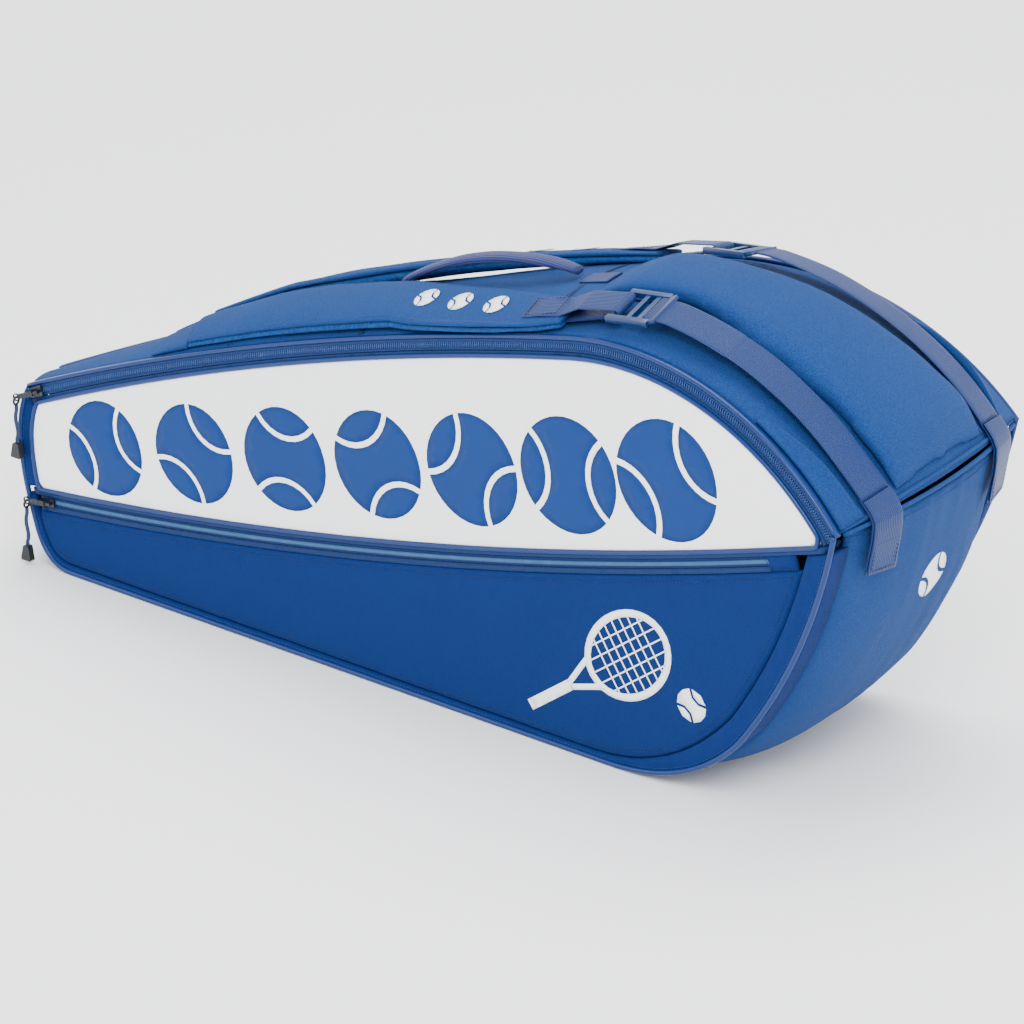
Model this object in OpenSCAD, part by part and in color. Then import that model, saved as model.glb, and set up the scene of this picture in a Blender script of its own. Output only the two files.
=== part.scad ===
// Racket tournament bag: a wedge with two zipped compartments, side pockets,
// a carry handle and two backpack straps.
// +X runs to the wide head end, -Y is the front, +Z is up, z = 0 is the floor.

/* [Body] */
// Length of a side panel, from the narrow tip to the head end
panel_length = 778; // [620:1:940]
// Height of a side panel at the top of its curve
panel_height = 324; // [262:1:400]
// Half of the bag's width at the narrow tip
tip_half_width = 22; // [20:0.5:30]
// Half of the bag's width at the head end
head_half_width = 128; // [105:0.5:155]
// Rise of the top's middle above its two edges
crown_rise = 16; // [10:0.5:22]
// Thickness of the padded gusset walls
wall = 4; // [2.5:0.1:6]
// Thickness of the centre divider
divider_thick = 4; // [2:0.1:6]

/* [Side panels] */
// Thickness of the padded compartment flap
flap_thick = 7; // [5:0.1:9]
// Thickness of a fabric face or lining
fabric = 1; // [0.6:0.1:1.5]
// Diameter of the piping round the panels
piping_d = 4; // [3:0.1:6]
// Depth of the side pocket
pocket_deep = 16; // [12:0.5:20]
// Thickness of the pocket's panel
pocket_thick = 3; // [2:0.1:5]
// Width of the border between the pocket and the head edge
border_wide = 22; // [16:0.5:30]
// Width of the border below the pocket
border_low = 8; // [6:0.5:12]

/* [Zippers] */
// Width of the closed main chain
chain_wide = 8; // [6:0.1:10]
// Width of the closed pocket chain
pocket_chain_wide = 6; // [5:0.1:8]
// Thickness of a chain
chain_thick = 2.2; // [1.8:0.1:3]
// Width of a zipper tape beside its chain
tape_wide = 4; // [3:0.1:6]
// Length of a slider's body
slider_long = 14; // [10:0.5:18]
// Length of a slider's tab
tab_long = 18; // [14:0.5:22]
// Radius of the eye in a slider's tab
eye_r = 2.2; // [1.8:0.1:3]
// Diameter of a pull cord
cord_d = 3; // [2.4:0.1:3.6]

/* [Carrying] */
// Width of the shoulder strap's pad
strap_wide = 50; // [42:1:60]
// Thickness of the shoulder strap's pad
strap_thick = 10; // [7:0.5:14]
// Width of the strap webbing
web_wide = 30; // [25:0.5:38]
// Thickness of the strap webbing
web_thick = 2; // [1.4:0.1:3]
// Rise of the carry handle above the top
handle_rise = 14; // [11:0.5:20]
// Width of the carry handle
handle_wide = 18; // [15:0.5:22]
// Thickness of the carry handle
handle_thick = 7; // [5:0.5:9]

/* [Hidden] */

// Clearances
gap = 0.4;          // between pieces that move past each other
seam_gap = 0.3;     // between pieces sewn edge to edge
far = 2000;         // reach of a cutting shape

// The wedge: each side panel turns out by this angle
wedge = asin((head_half_width - tip_half_width) / panel_length);
mid_half_width = (head_half_width + tip_half_width) / 2;

// Outline of a side panel in its own plane, as [along, up]
zip_start = [-0.487 * panel_length, 0.44 * panel_height];
zip_bend = [0.189 * panel_length, 0.982 * panel_height];
zip_end = [0.5 * panel_length, 0.719 * panel_height];
toe = [0.334 * panel_length, 0];
heel = [-0.468 * panel_length, 0];
tip_low = [-0.5 * panel_length, 0.24 * panel_height];
tip_high = [-0.5 * panel_length, 0.39 * panel_height];
long_sag = 14;      // bulge of the long upper edge
head_top_sag = 36;  // bulge of the edge over the head
head_sag = 21;      // bulge of the edge down the head end
toe_rise = 50;      // height where the toe's bend starts
toe_run = 75;       // length of the toe's bend along the floor

// The pocket zipper's line
pocket_start = [-0.472 * panel_length, 0.164 * panel_height];
pocket_end = [0.424 * panel_length, 0.614 * panel_height];
pocket_sag = -18;

// Depths from the rim towards the panel's middle
chain_depth = 2 + chain_wide / 2;
tape_from = chain_depth + chain_wide / 2 + gap + 0.3;
flap_depth = tape_from + tape_wide;

// Heights above the pocket zipper's line
waist_from = pocket_chain_wide / 2 + gap + 0.3;
waist_wide = 5;
flap_from = waist_from + waist_wide + gap;

// Layers, counted outwards from the panel's outer face
chain_face = -0.4;
pocket_back = -pocket_thick - pocket_deep;
panel_back = pocket_back - wall;
step_at = -0.392 * panel_length;   // left of this the pocket has no depth
binding_deep = 6;
top_edge_in = binding_deep + seam_gap;
low_edge_in = -pocket_back + seam_gap + 0.5;
// How far a layer's own depth shifts it towards the head end
panel_shift = -panel_back * sin(wedge);
panel_inset = wall + seam_gap + panel_shift;

// ---------- curves ----------
function mix(a, b, k) = a + (b - a) * k;
function unit(v) = v / norm(v);
function arc_half(p, q, sag) = 2 * atan(abs(sag) * 2 / norm(q - p));
function arc_r(p, q, sag) = norm(q - p) / 2 / sin(arc_half(p, q, sag));
function left_of(d) = [-d.y, d.x];
function arc_mid(p, q, sag) = (p + q) / 2
    - left_of(unit(q - p)) * sign(sag) * (arc_r(p, q, sag) - abs(sag));
// Point on the arc from p to q; in moves it towards the arc's hollow side
function arc_at(p, q, sag, k, in = 0) =
    let (a = arc_half(p, q, sag) * (2 * k - 1), d = unit(q - p))
    arc_mid(p, q, sag)
        + (arc_r(p, q, sag) - in) * (left_of(d) * sign(sag) * cos(a) + d * sin(a));
function arc(p, q, sag, n, in = 0) = [for (i = [0:n]) arc_at(p, q, sag, i / n, in)];
function bend(a, b, c, n) = [for (i = [0:n]) let (k = i / n)
    a * (1 - k) * (1 - k) + b * 2 * k * (1 - k) + c * k * k];
function backwards(list) = [for (i = [len(list) - 1:-1:0]) list[i]];
function after_first(list) = [for (i = [1:len(list) - 1]) list[i]];

function zip_line(in = 0) = concat(arc(zip_start, zip_bend, long_sag, 30, in),
    after_first(arc(zip_bend, zip_end, head_top_sag, 18, in)));
head_line = [for (p = arc(zip_end, toe, head_sag, 16)) if (p.y > toe_rise) p];
toe_line = bend(head_line[len(head_line) - 1], toe, toe - [toe_run, 0], 8);
tip_line = concat(
    bend(heel + [26, 0], heel, mix(heel, tip_low, 0.4), 6),
    bend(mix(heel, tip_low, 0.6), tip_low, mix(tip_low, tip_high, 0.5), 5),
    after_first(bend(mix(tip_low, tip_high, 0.5), tip_high, zip_start, 6)));
rim = concat(zip_line(), after_first(head_line), after_first(toe_line),
    [for (i = [0:len(tip_line) - 2]) tip_line[i]]);

// A trail is a line that can be walked by distance: [along table, up table, length]
function run(points, i = 0, sum = 0, out = []) = i >= len(points) ? out
    : let (next = i == 0 ? 0 : sum + norm(points[i] - points[i - 1]))
      run(points, i + 1, next, concat(out, [[next, points[i].x, points[i].y]]));
function trail(points) = let (r = run(points))
    [[for (q = r) [q[0], q[1]]], [for (q = r) [q[0], q[2]]], r[len(r) - 1][0]];
function on(t, s) = [lookup(s, t[0]), lookup(s, t[1])];
function out_of(t, s) = let (e = 4, a = on(t, max(0, s - e)), b = on(t, min(t[2], s + e)))
    left_of(unit(b - a));

over = trail(concat(zip_line(), after_first(head_line), after_first(toe_line)));
under = trail(tip_line);
seam_s = trail(zip_line())[2];

// Places along the top, as distances from the zipper's start
handle_from = 352;
handle_to = 512;
strap_from = 172;           // sewn end of the shoulder strap
strap_to = seam_s - 282;    // end of its pad
buckle_s = seam_s - 240;    // bar that the buckle hangs on
web_from = buckle_s + 42;   // start of the webbing that lies on the head
web_to = seam_s + 36;       // end of its folded tab
tab_s = 46;                 // length of the folded tab
pad_from = handle_to + 30;
pad_to = seam_s - 4;
gore_from = seam_s - 100;

// Places across the top
web_y = 80;                 // middle of the strap webbing on the head end
buckle_y = 66;              // middle of the strap at its buckle
strap_apart = 5;            // least gap between the two straps

// Heights and thicknesses on the top
pad_thick = 10;
front_lift = 1;             // rise of the lying front strap
rear_lift = 5;              // rise of the bowed rear strap
frame_wide = web_wide + 10; // the buckle
frame_long = 34;
frame_thick = 4.5;

// Slot in a chain for the slider's post
slot = 1.4;
// Bulge of the tip, flat again where it meets the floor
tip_rise = 2;

// Half-width of the gusset at a place along the panel
function half_at(u, edge_in) = mid_half_width + u * sin(wedge) - edge_in;
crown_curve = [
    [0, 0.125], [0.1, 0.2], [0.2, 0.65], [0.3, 1], [0.45, 0.93], [0.65, 0.86], [0.8, 0.9],
    [1, 1.05], [1.1, 1.35], [1.2, 1.4], [1.28, 0.85], [1.34, 0.22], [1.38, 0]];
function crown(s) = crown_rise * lookup(s / seam_s, crown_curve);
// The head end fills out like a pillow, flatter across than the top
function fullness(s) = lookup(s / seam_s, [[1, 2], [1.12, 4]]);

// Point of the curved wall: s along the trail, y across, h outwards
function skin(t, s, y, h, rise, edge_in) =
    let (p = on(t, s), q = out_of(t, s), g = half_at(p.x, edge_in),
         c = rise * (1 - pow(min(1, abs(y) / g), fullness(s))))
    [(p.x + q.x * (c + h)) * cos(wedge), y, p.y + q.y * (c + h)];
function top_skin(s, y, h) = skin(over, s, y, h, crown(s), top_edge_in);

// Closed solid between two grids of points, both [row][column]
module shell(upper, lower) {
    rows = len(upper);
    cols = len(upper[0]);
    count = rows * cols;
    points = concat([for (r = upper) for (p = r) p], [for (r = lower) for (p = r) p]);
    function id(i, j, side) = side * count + i * cols + j;
    function quad(a, b, c, d) = [[a, b, c], [a, c, d]];
    faces = concat(
        [for (i = [0:rows - 2]) for (j = [0:cols - 2]) each
            quad(id(i, j, 0), id(i, j + 1, 0), id(i + 1, j + 1, 0), id(i + 1, j, 0))],
        [for (i = [0:rows - 2]) for (j = [0:cols - 2]) each
            quad(id(i, j, 1), id(i + 1, j, 1), id(i + 1, j + 1, 1), id(i, j + 1, 1))],
        [for (i = [0:rows - 2]) each
            quad(id(i, 0, 0), id(i + 1, 0, 0), id(i + 1, 0, 1), id(i, 0, 1))],
        [for (i = [0:rows - 2]) each
            quad(id(i, cols - 1, 0), id(i, cols - 1, 1), id(i + 1, cols - 1, 1), id(i + 1, cols - 1, 0))],
        [for (j = [0:cols - 2]) each
            quad(id(0, j, 0), id(0, j, 1), id(0, j + 1, 1), id(0, j + 1, 0))],
        [for (j = [0:cols - 2]) each
            quad(id(rows - 1, j, 0), id(rows - 1, j + 1, 0), id(rows - 1, j + 1, 1), id(rows - 1, j, 1))]);
    polyhedron(points, faces);
}

function steps(from, to, n) = [for (i = [0:n]) mix(from, to, i / n)];

// Patch of the top: from and to are distances, sides(k) gives its two edges in y,
// low(k) and high(k) its heights, where k runs from 0 to 1
module top_patch(from, to, n, across, sides, low, high) {
    function grid(height) = [for (k = steps(0, 1, n)) let (e = sides(k))
        [for (y = steps(e[0], e[1], across)) top_skin(mix(from, to, k), y, height(k))]];
    shell(grid(high), grid(low));
}

// Gusset wall along a trail from edge to edge
module gusset(t, from, to, n, rise, edge_in) {
    function grid(h) = [for (s = steps(from, to, n)) let (g = half_at(on(t, s).x, edge_in))
        [for (y = steps(-g, g, 16)) skin(t, s, y, h, rise(s), edge_in)]];
    shell(grid(0), grid(-wall));
}

// ---------- placing ----------
module rear() mirror([0, 1, 0]) children();
// Local x runs along the panel, y up, z outwards from the panel's face
module on_panel(level = 0) translate([0, -mid_half_width, 0]) rotate([90, 0, -wedge])
    translate([0, 0, level]) children();
module layer(bottom, top) on_panel(bottom) linear_extrude(top - bottom) children();

// ---------- outlines ----------
module inside(d) offset(delta = -d) polygon(rim);
function pocket_line(up) = arc(pocket_start, pocket_end, pocket_sag, 28, up);
// Line along the pocket zipper, carried on to both sides, up above its chain
function long_pocket_line(up) = let (l = pocket_line(up), a = l[0], b = l[len(l) - 1])
    concat([a + (a - l[1]) * 20], l, [b + (b - l[len(l) - 2]) * 20]);
module above_pocket(up) polygon(concat(long_pocket_line(up), [[far, far], [-far, far]]));
module below_pocket(up) polygon(concat(long_pocket_line(up), [[far, -far], [-far, -far]]));
module zip_band(from, to) polygon(concat(zip_line(from), backwards(zip_line(to))));
module pocket_band(from, to) polygon(concat(pocket_line(from), backwards(pocket_line(to))));
module flap_shape(d, up) intersection() {
    inside(d);
    above_pocket(up);
}
module pocket_shape(d, down) intersection() {
    inside(border_low + d);
    translate([-(border_wide - border_low), 0]) inside(border_low + d);
    below_pocket(-down);
}

// ---------- shell of the bag ----------
module bottom_gusset() color("midnightblue") {
    from = heel.x + 27;
    to = toe.x - toe_run - 1;
    edge = function(u) half_at(u, low_edge_in);
    linear_extrude(wall) polygon([[from * cos(wedge), -edge(from)], [to * cos(wedge), -edge(to)],
        [to * cos(wedge), edge(to)], [from * cos(wedge), edge(from)]]);
}
module bottom_board() color("dimgray") {
    from = step_at + 12;
    to = toe.x - toe_run - 10;
    edge = function(u) half_at(u, -panel_back + 2);
    for (side = [0, 1]) mirror([0, side, 0])
        translate([0, 0, wall + 0.2]) linear_extrude(2) polygon([
            [from * cos(wedge), divider_thick / 2 + 1], [to * cos(wedge), divider_thick / 2 + 1],
            [to * cos(wedge), edge(to)], [from * cos(wedge), edge(from)]]);
}
module head_gusset() color("royalblue")
    gusset(over, seam_s + 2, over[2] - 0.5, 20, function(s) crown(s), low_edge_in);
module tip_gusset() color("royalblue")
    gusset(under, 1, under[2] - 1, 18, function(s) tip_rise * min(1, s / 60), top_edge_in + flap_thick);
module top_gusset() color("royalblue")
    gusset(over, 1, seam_s - 1, 44, function(s) crown(s), top_edge_in);
// Narrow between the buckles, then as wide as the webbing's channels allow
function pad_half(k) = let (s = mix(pad_from, pad_to, k), t = max(0, min(1, (s - buckle_s - 36) / 60)))
    mix(buckle_y - frame_wide / 2 - 6, lean(s) - web_wide / 2 - 3, t);
module top_pad() color("royalblue")
    top_patch(pad_from, pad_to, 24, 10, function(k) [-pad_half(k), pad_half(k)],
        function(k) seam_gap, function(k) seam_gap + pad_thick * min(1, k * 8 + 0.1, (1 - k) * 12 + 0.3));
module head_seam() color("midnightblue")
    top_patch(seam_s - 3, seam_s + 1, 2, 12, function(k) [-60, 60],
        function(k) seam_gap, function(k) seam_gap + 2);
module divider() color("dimgray") {
    top = [for (s = steps(70, over[2], 50)) let (p = skin(over, s, 0, -wall - 1, crown(s),
        s < seam_s ? top_edge_in : low_edge_in)) [p.x, max(wall + 0.3, p.z)]];
    translate([0, divider_thick / 2, 0]) rotate([90, 0, 0]) linear_extrude(divider_thick)
        polygon(concat(top, [[top[0].x, wall + 0.3]]));
}

// ---------- one side ----------
module lower_panel() color("darkblue") {
    layer(panel_back, pocket_back - seam_gap) intersection() {
        inside(panel_inset);
        below_pocket(waist_from - gap);
        translate([step_at, -far]) square([far, 2 * far]);
    }
    layer(panel_back, -flap_thick - seam_gap) intersection() {
        inside(panel_inset);
        below_pocket(waist_from - gap);
        translate([step_at - wall, -far]) square([wall, 2 * far]);
    }
    layer(-flap_thick - wall, -flap_thick - seam_gap) intersection() {
        inside(panel_inset);
        below_pocket(waist_from - gap);
        translate([step_at - far, -far]) square([far, 2 * far]);
    }
}
module border() color("mediumblue") {
    layer(pocket_back, -piping_d / 2) difference() {
        intersection() {
            inside(0);
            below_pocket(waist_from - gap);
            translate([step_at, -far]) square([far, 2 * far]);
        }
        pocket_shape(-gap, -waist_from);
    }
    layer(-flap_thick, -piping_d / 2) difference() {
        intersection() {
            inside(0);
            below_pocket(waist_from - gap);
            translate([step_at - far, -far]) square([far, 2 * far]);
        }
        pocket_shape(-gap, -waist_from);
    }
    layer(-flap_thick, -piping_d / 2) tip_shape(0, flap_depth - gap);
}
// The panel's edge round the tip, between the zipper's start and the waist
module tip_shape(from, to) intersection() {
    difference() {
        inside(from);
        inside(to);
    }
    above_pocket(flap_from);
    translate(zip_start) rotate(main_turn) translate([-far - 0.5, -far]) square([far, 2 * far]);
    translate([-far, -far]) square([far + tip_high.x / 2, 2 * far]);
}
module piping() color("navy") layer(-piping_d / 2 + 0.1, 0) {
    intersection() {
        difference() {
            inside(0);
            inside(piping_d);
        }
        below_pocket(waist_from - gap);
    }
    tip_shape(0, piping_d);
}
module waist() color("navy") {
    layer(panel_back, 0) intersection() {
        waist_shape();
        translate([step_at, -far]) square([far, 2 * far]);
    }
    layer(-flap_thick - wall, 0) intersection() {
        waist_shape();
        translate([step_at - far, -far]) square([far, 2 * far]);
    }
}
module waist_shape() difference() {
    intersection() {
        inside(panel_inset);
        above_pocket(waist_from);
    }
    above_pocket(waist_from + waist_wide);
}
module main_chain() color("slategray") layer(chain_face - chain_thick, chain_face) difference() {
    zip_band(chain_depth - chain_wide / 2, chain_depth + chain_wide / 2);
    polygon(concat(
        [for (i = [0:len(zip_line()) - 3]) zip_line(chain_depth - slot / 2)[i]],
        backwards([for (i = [0:len(zip_line()) - 3]) zip_line(chain_depth + slot / 2)[i]])));
}
module pocket_chain() color("lightskyblue") layer(chain_face - chain_thick, chain_face) difference() {
    pocket_band(-pocket_chain_wide / 2, pocket_chain_wide / 2);
    polygon(concat(
        [for (i = [0:len(pocket_line(0)) - 2]) pocket_line(-slot / 2)[i]],
        backwards([for (i = [0:len(pocket_line(0)) - 2]) pocket_line(slot / 2)[i]])));
}
module binding() color("navy") layer(-binding_deep, 0)
    zip_band(-1.2, chain_depth - chain_wide / 2 - 0.4);
module gore() color("royalblue")
    top_patch(gore_from, seam_s - 3, 8, 6, function(k)
        let (g = half_at(on(over, mix(gore_from, seam_s - 3, k)).x,
        top_edge_in)) [-g + 1, mix(-g + 6, -web_y - web_wide / 2 - 2, k)],
        function(k) seam_gap, function(k) seam_gap + 2);

// ---------- strap ----------
function lean(s) = mix(buckle_y, web_y, min(1, max(0, (s - buckle_s) / 200)));
module webbing() color("darkslateblue") {
    top_patch(web_from, web_to - tab_s - 0.5, 18, 2,
        function(k) let (y = lean(mix(web_from, web_to - tab_s - 0.5, k)))
            [-y - web_wide / 2, -y + web_wide / 2],
        function(k) web_level(k), function(k) web_level(k) + web_thick);
    web_tab();
}
function web_level(k) = mix(13, seam_gap + 2.6, k);
module web_tab() top_patch(web_to - tab_s, web_to, 6, 2,
    function(k) [-web_y - web_wide / 2, -web_y + web_wide / 2],
        function(k) seam_gap + 2.2, function(k) seam_gap + 2.2 + 2 * web_thick);
module strap_root() color("royalblue")
    top_patch(strap_from - 40, strap_from - 0.5, 6, 4,
        function(k) strap_edges(mix(strap_from - 40, strap_from, k), 0.55 + 0.1 * k),
        function(k) seam_gap, function(k) seam_gap + mix(2, 6, k));
function strap_edges(s, narrow) = let (g = half_at(on(over, s).x, top_edge_in),
    w = min(strap_wide * narrow, g - 2 - strap_apart / 2),
    m = mix(g - 2 - w / 2, buckle_y, max(0, min(1, (s - 380) / 150))))
    [-m - w / 2, -m + w / 2];
function strap_narrow(k) = k < 0.35 ? mix(0.66, 1, sin(90 * k / 0.35))
    : k > 0.8 ? mix(1, 0.66, (k - 0.8) / 0.2) : 1;
function bow(k, lift) = 1.2 + lift * sin(180 * k);
module strap_pad(lift) color("royalblue")
    top_patch(strap_from, strap_to, 20, 6,
        function(k) strap_edges(mix(strap_from, strap_to, k), strap_narrow(k)),
        function(k) bow(k, lift), function(k) bow(k, lift) + strap_thick * (0.7 + 0.3 * sin(180 * k)));

// The buckle's bar lies across the strap, at this place on the crown
bar_r = 1.8;
loop_r = bar_r + gap;
bar_up = 10;
function bar_at() = let (p = top_skin(buckle_s, -buckle_y, bar_up)) [p.x, p.y, p.z];
bar_tilt = let (q = out_of(over, buckle_s)) atan2(q.x, q.y);
bar_roll = let (g = half_at(on(over, buckle_s).x, top_edge_in))
    atan(2 * crown(buckle_s) * buckle_y / (g * g));
module at_bar() translate(bar_at()) rotate([0, bar_tilt, 0]) rotate([bar_roll, 0, 0]) children();
module strap_loop() color("darkslateblue") {
    start = strap_to + 0.4;
    stop = buckle_s - loop_r - 1;
    top_patch(start, stop, 5, 2, function(k) [-buckle_y - 13, -buckle_y + 13],
        function(k) mix(2.5, bar_up - 1, k), function(k) mix(2.5, bar_up - 1, k) + web_thick);
    at_bar() rotate([90, 0, 0]) difference() {
        cylinder(r = loop_r + web_thick, h = 26, center = true, $fn = 40);
        cylinder(r = loop_r, h = 40, center = true, $fn = 40);
    }
}
module buckle() color("navy") at_bar() {
    rotate([90, 0, 0]) cylinder(r = bar_r, h = frame_wide - 4, center = true, $fn = 40);
    for (side = [-1, 1])
        translate([-3, side * (frame_wide / 2 - 2.5) - 2.5, -frame_thick / 2])
            cube([frame_long, 5, frame_thick]);
    for (x = [13, 22]) translate([x - 1.8, -frame_wide / 2 + 2.5, -frame_thick / 2])
        cube([3.6, frame_wide - 5, frame_thick - 1]);
    translate([frame_long - 5, -frame_wide / 2 + 2.5, -frame_thick / 2 + 0.5])
        rotate([0, -18, 0]) cube([8, frame_wide - 5, 3]);
}

// ---------- flap and pocket ----------
module flap_tape() color("navy") {
    layer(-3, -1) intersection() {
        zip_band(tape_from, flap_depth - 0.2);
        above_pocket(flap_from + 0.5);
    }
}
module flap_face() color("white") layer(-fabric, 0) flap_shape(flap_depth, flap_from);
module flap_foam() color("gray") layer(-flap_thick + fabric, -fabric)
    flap_shape(flap_depth + 1, flap_from + 1);
module flap_lining() color("midnightblue") layer(-flap_thick, -flap_thick + fabric)
    flap_shape(flap_depth, flap_from);
module whole_flap() color("white") layer(-flap_thick, 0) flap_shape(flap_depth, flap_from);
module pocket_panel() color("mediumblue") layer(-pocket_thick, 0) pocket_shape(0, waist_from + tape_wide);
module pocket_tape() color("navy") layer(-2.4, -1) intersection() {
    pocket_band(-waist_from - tape_wide + 0.2, -waist_from);
    inside(border_low + 2);
    translate([-(border_wide - border_low), 0]) inside(border_low + 2);
}

// ---------- sliders and pulls ----------
plate = 1.8;        // thickness of a slider's plates
tab_level = 5;      // middle of the tab above the panel's face
ring_r = 2.8;
wire_r = 0.9;
tip_long = 12;
cord_long = 30;
// Where each slider is parked, and the direction its tab points to
function arc_long(p, q, sag) = arc_r(p, q, sag) * arc_half(p, q, sag) * PI / 90;
park = slider_long / 2 + 1.5;
main_at = arc_at(zip_start, zip_bend, long_sag, park / arc_long(zip_start, zip_bend, long_sag), chain_depth);
main_turn = arc_half(zip_start, zip_bend, long_sag)
    + atan2(zip_bend.y - zip_start.y, zip_bend.x - zip_start.x);
pocket_at = arc_at(pocket_start, pocket_end, pocket_sag,
    park / arc_long(pocket_start, pocket_end, pocket_sag));
pocket_turn = -arc_half(pocket_start, pocket_end, pocket_sag)
    + atan2(pocket_end.y - pocket_start.y, pocket_end.x - pocket_start.x);
module slider(place, turn, chain) color("slategray") on_panel() translate(place) rotate(turn) {
    half = chain / 2 + 0.3;
    for (level = [chain_face - chain_thick - gap - plate, chain_face + gap])
        translate([0, 0, level]) linear_extrude(plate) offset(r = 1.2) offset(delta = -1.2)
            polygon([[-slider_long / 2, -half + 0.8], [-slider_long / 2, half - 0.8],
                [slider_long / 2, half], [slider_long / 2, -half]]);
    translate([-2, -0.35, chain_face - chain_thick - gap - 1]) cube([6, 0.7, chain_thick + 2 * gap + 2]);
    translate([-3, -1, chain_face + gap + 1]) cube([8, 2, tab_level - 1]);
    translate([0, 0, tab_level - 0.6]) linear_extrude(1.2) difference() {
        union() {
            translate([-tab_long, -2]) square([tab_long, 4]);
            translate([-tab_long, 0]) circle(r = eye_r + 0.8, $fn = 32);
        }
        translate([-tab_long, 0]) circle(r = eye_r, $fn = 32);
    }
}
function eye(place, turn) = place - tab_long * [cos(turn), sin(turn)];
module at_eye(place, turn) on_panel(tab_level) translate(eye(place, turn)) children();
module pull_ring(place, turn) at_eye(place, turn) translate([0, -ring_r, 0])
    rotate([0, 90, 0]) rotate_extrude($fn = 32) translate([ring_r, 0]) circle(r = wire_r, $fn = 16);
// The cord's route below the ring: [sideways, down]
CORD = [[0, 0], [0, 4], [-1, 8], [-1, 12], [0, 16], [1, 20], [1, 24], [0, 27], [0, 30]];
module pull_cord(place, turn) color("midnightblue") at_eye(place, turn)
    translate([0, -2 * ring_r - wire_r, 0]) {
    ring = [for (a = [0:45:315]) cord_d / 2 * [cos(a), sin(a)]];
    points = [for (p = CORD) for (q = ring) [p.x + q.x, -p.y, q.y]];
    n = len(ring);
    m = len(CORD);
    polyhedron(points, concat(
        [[for (j = [0:n - 1]) j]], [[for (j = [n - 1:-1:0]) (m - 1) * n + j]],
        [for (i = [0:m - 2]) for (j = [0:n - 1]) each let (k = (j + 1) % n)
            [[i * n + j, (i + 1) * n + k, i * n + k], [i * n + j, (i + 1) * n + j, (i + 1) * n + k]]]));
}
module pull_tip(place, turn) at_eye(place, turn)
    translate([0, -2 * ring_r - wire_r - cord_long, -2.5]) linear_extrude(5) offset(r = 1) offset(delta = -1)
        polygon([[-2.6, 0], [2.6, 0], [5, -tip_long], [-5, -tip_long]]);
module pull(place, turn) color("black") {
    pull_ring(place, turn);
    pull_tip(place, turn);
}

// ---------- carry handle ----------
function arch(k) = handle_rise * pow(sin(180 * k), 0.7) - handle_thick;
module handle_shape(half, thick, from, to) top_patch(mix(handle_from, handle_to, from),
    mix(handle_from, handle_to, to), 20, 4, function(k) [-half, half],
    function(k) arch(mix(from, to, k)) + (handle_thick - thick) / 2 + 9,
    function(k) arch(mix(from, to, k)) + (handle_thick + thick) / 2 + 9);
module handle_cover() color("midnightblue") difference() {
    handle_shape(handle_wide / 2, handle_thick, 0.02, 0.98);
    handle_shape(handle_wide / 2 - 3, handle_thick - 3, 0.10, 0.90);
}
module handle_core() color("gray") handle_shape(handle_wide / 2 - 3.2, handle_thick - 3.4, 0.11, 0.89);
module handle_anchors() color("darkslateblue")
    for (side = [0, 1]) {
        s0 = side == 0 ? handle_from - 26 : handle_to + 2;
        top_patch(s0, s0 + 24, 3, 3, function(k) [-11, 11],
            function(k) seam_gap, function(k) seam_gap + 1.5);
    }

bottom_gusset();
bottom_board();
head_gusset();
tip_gusset();
top_gusset();
top_pad();
head_seam();
divider();
handle_anchors();
handle_cover();
handle_core();
lower_panel();  // front_lower_panel
border();  // front_border
piping();  // front_piping
waist();  // front_waist
main_chain();  // front_main_chain
binding();  // front_binding
pocket_chain();  // front_pocket_chain
gore();  // front_gore
webbing();  // front_webbing
strap_root();  // front_strap_root
flap_face();  // front_flap_face
flap_foam();  // front_flap_foam
flap_lining();  // front_flap_lining
flap_tape();  // front_flap_tape
pocket_panel();  // front_pocket_panel
pocket_tape();  // front_pocket_tape
slider(main_at, main_turn, chain_wide);  // front_main_slider
pull(main_at, main_turn);  // front_main_pull
pull_cord(main_at, main_turn);  // front_main_cord
slider(pocket_at, pocket_turn, pocket_chain_wide);  // front_pocket_slider
pull(pocket_at, pocket_turn);  // front_pocket_pull
pull_cord(pocket_at, pocket_turn);  // front_pocket_cord
strap_pad(front_lift);  // front_strap_pad
strap_loop();  // front_strap_loop
buckle();  // front_buckle
rear() lower_panel();  // rear_lower_panel
rear() border();  // rear_border
rear() piping();  // rear_piping
rear() waist();  // rear_waist
rear() main_chain();  // rear_main_chain
rear() binding();  // rear_binding
rear() pocket_chain();  // rear_pocket_chain
rear() gore();  // rear_gore
rear() webbing();  // rear_webbing
rear() strap_root();  // rear_strap_root
rear() whole_flap();  // rear_flap
rear() flap_tape();  // rear_flap_tape
rear() pocket_panel();  // rear_pocket_panel
rear() pocket_tape();  // rear_pocket_tape
rear() slider(main_at, main_turn, chain_wide);  // rear_main_slider
rear() pull(main_at, main_turn);  // rear_main_pull
rear() pull_cord(main_at, main_turn);  // rear_main_cord
rear() slider(pocket_at, pocket_turn, pocket_chain_wide);  // rear_pocket_slider
rear() pull(pocket_at, pocket_turn);  // rear_pocket_pull
rear() pull_cord(pocket_at, pocket_turn);  // rear_pocket_cord
rear() strap_pad(rear_lift);  // rear_strap_pad
rear() strap_loop();  // rear_strap_loop
rear() buckle();  // rear_buckle
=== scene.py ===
import math
import bpy
import bmesh
import numpy as np
from mathutils import Matrix, Vector, noise
from mathutils.geometry import delaunay_2d_cdt


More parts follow.
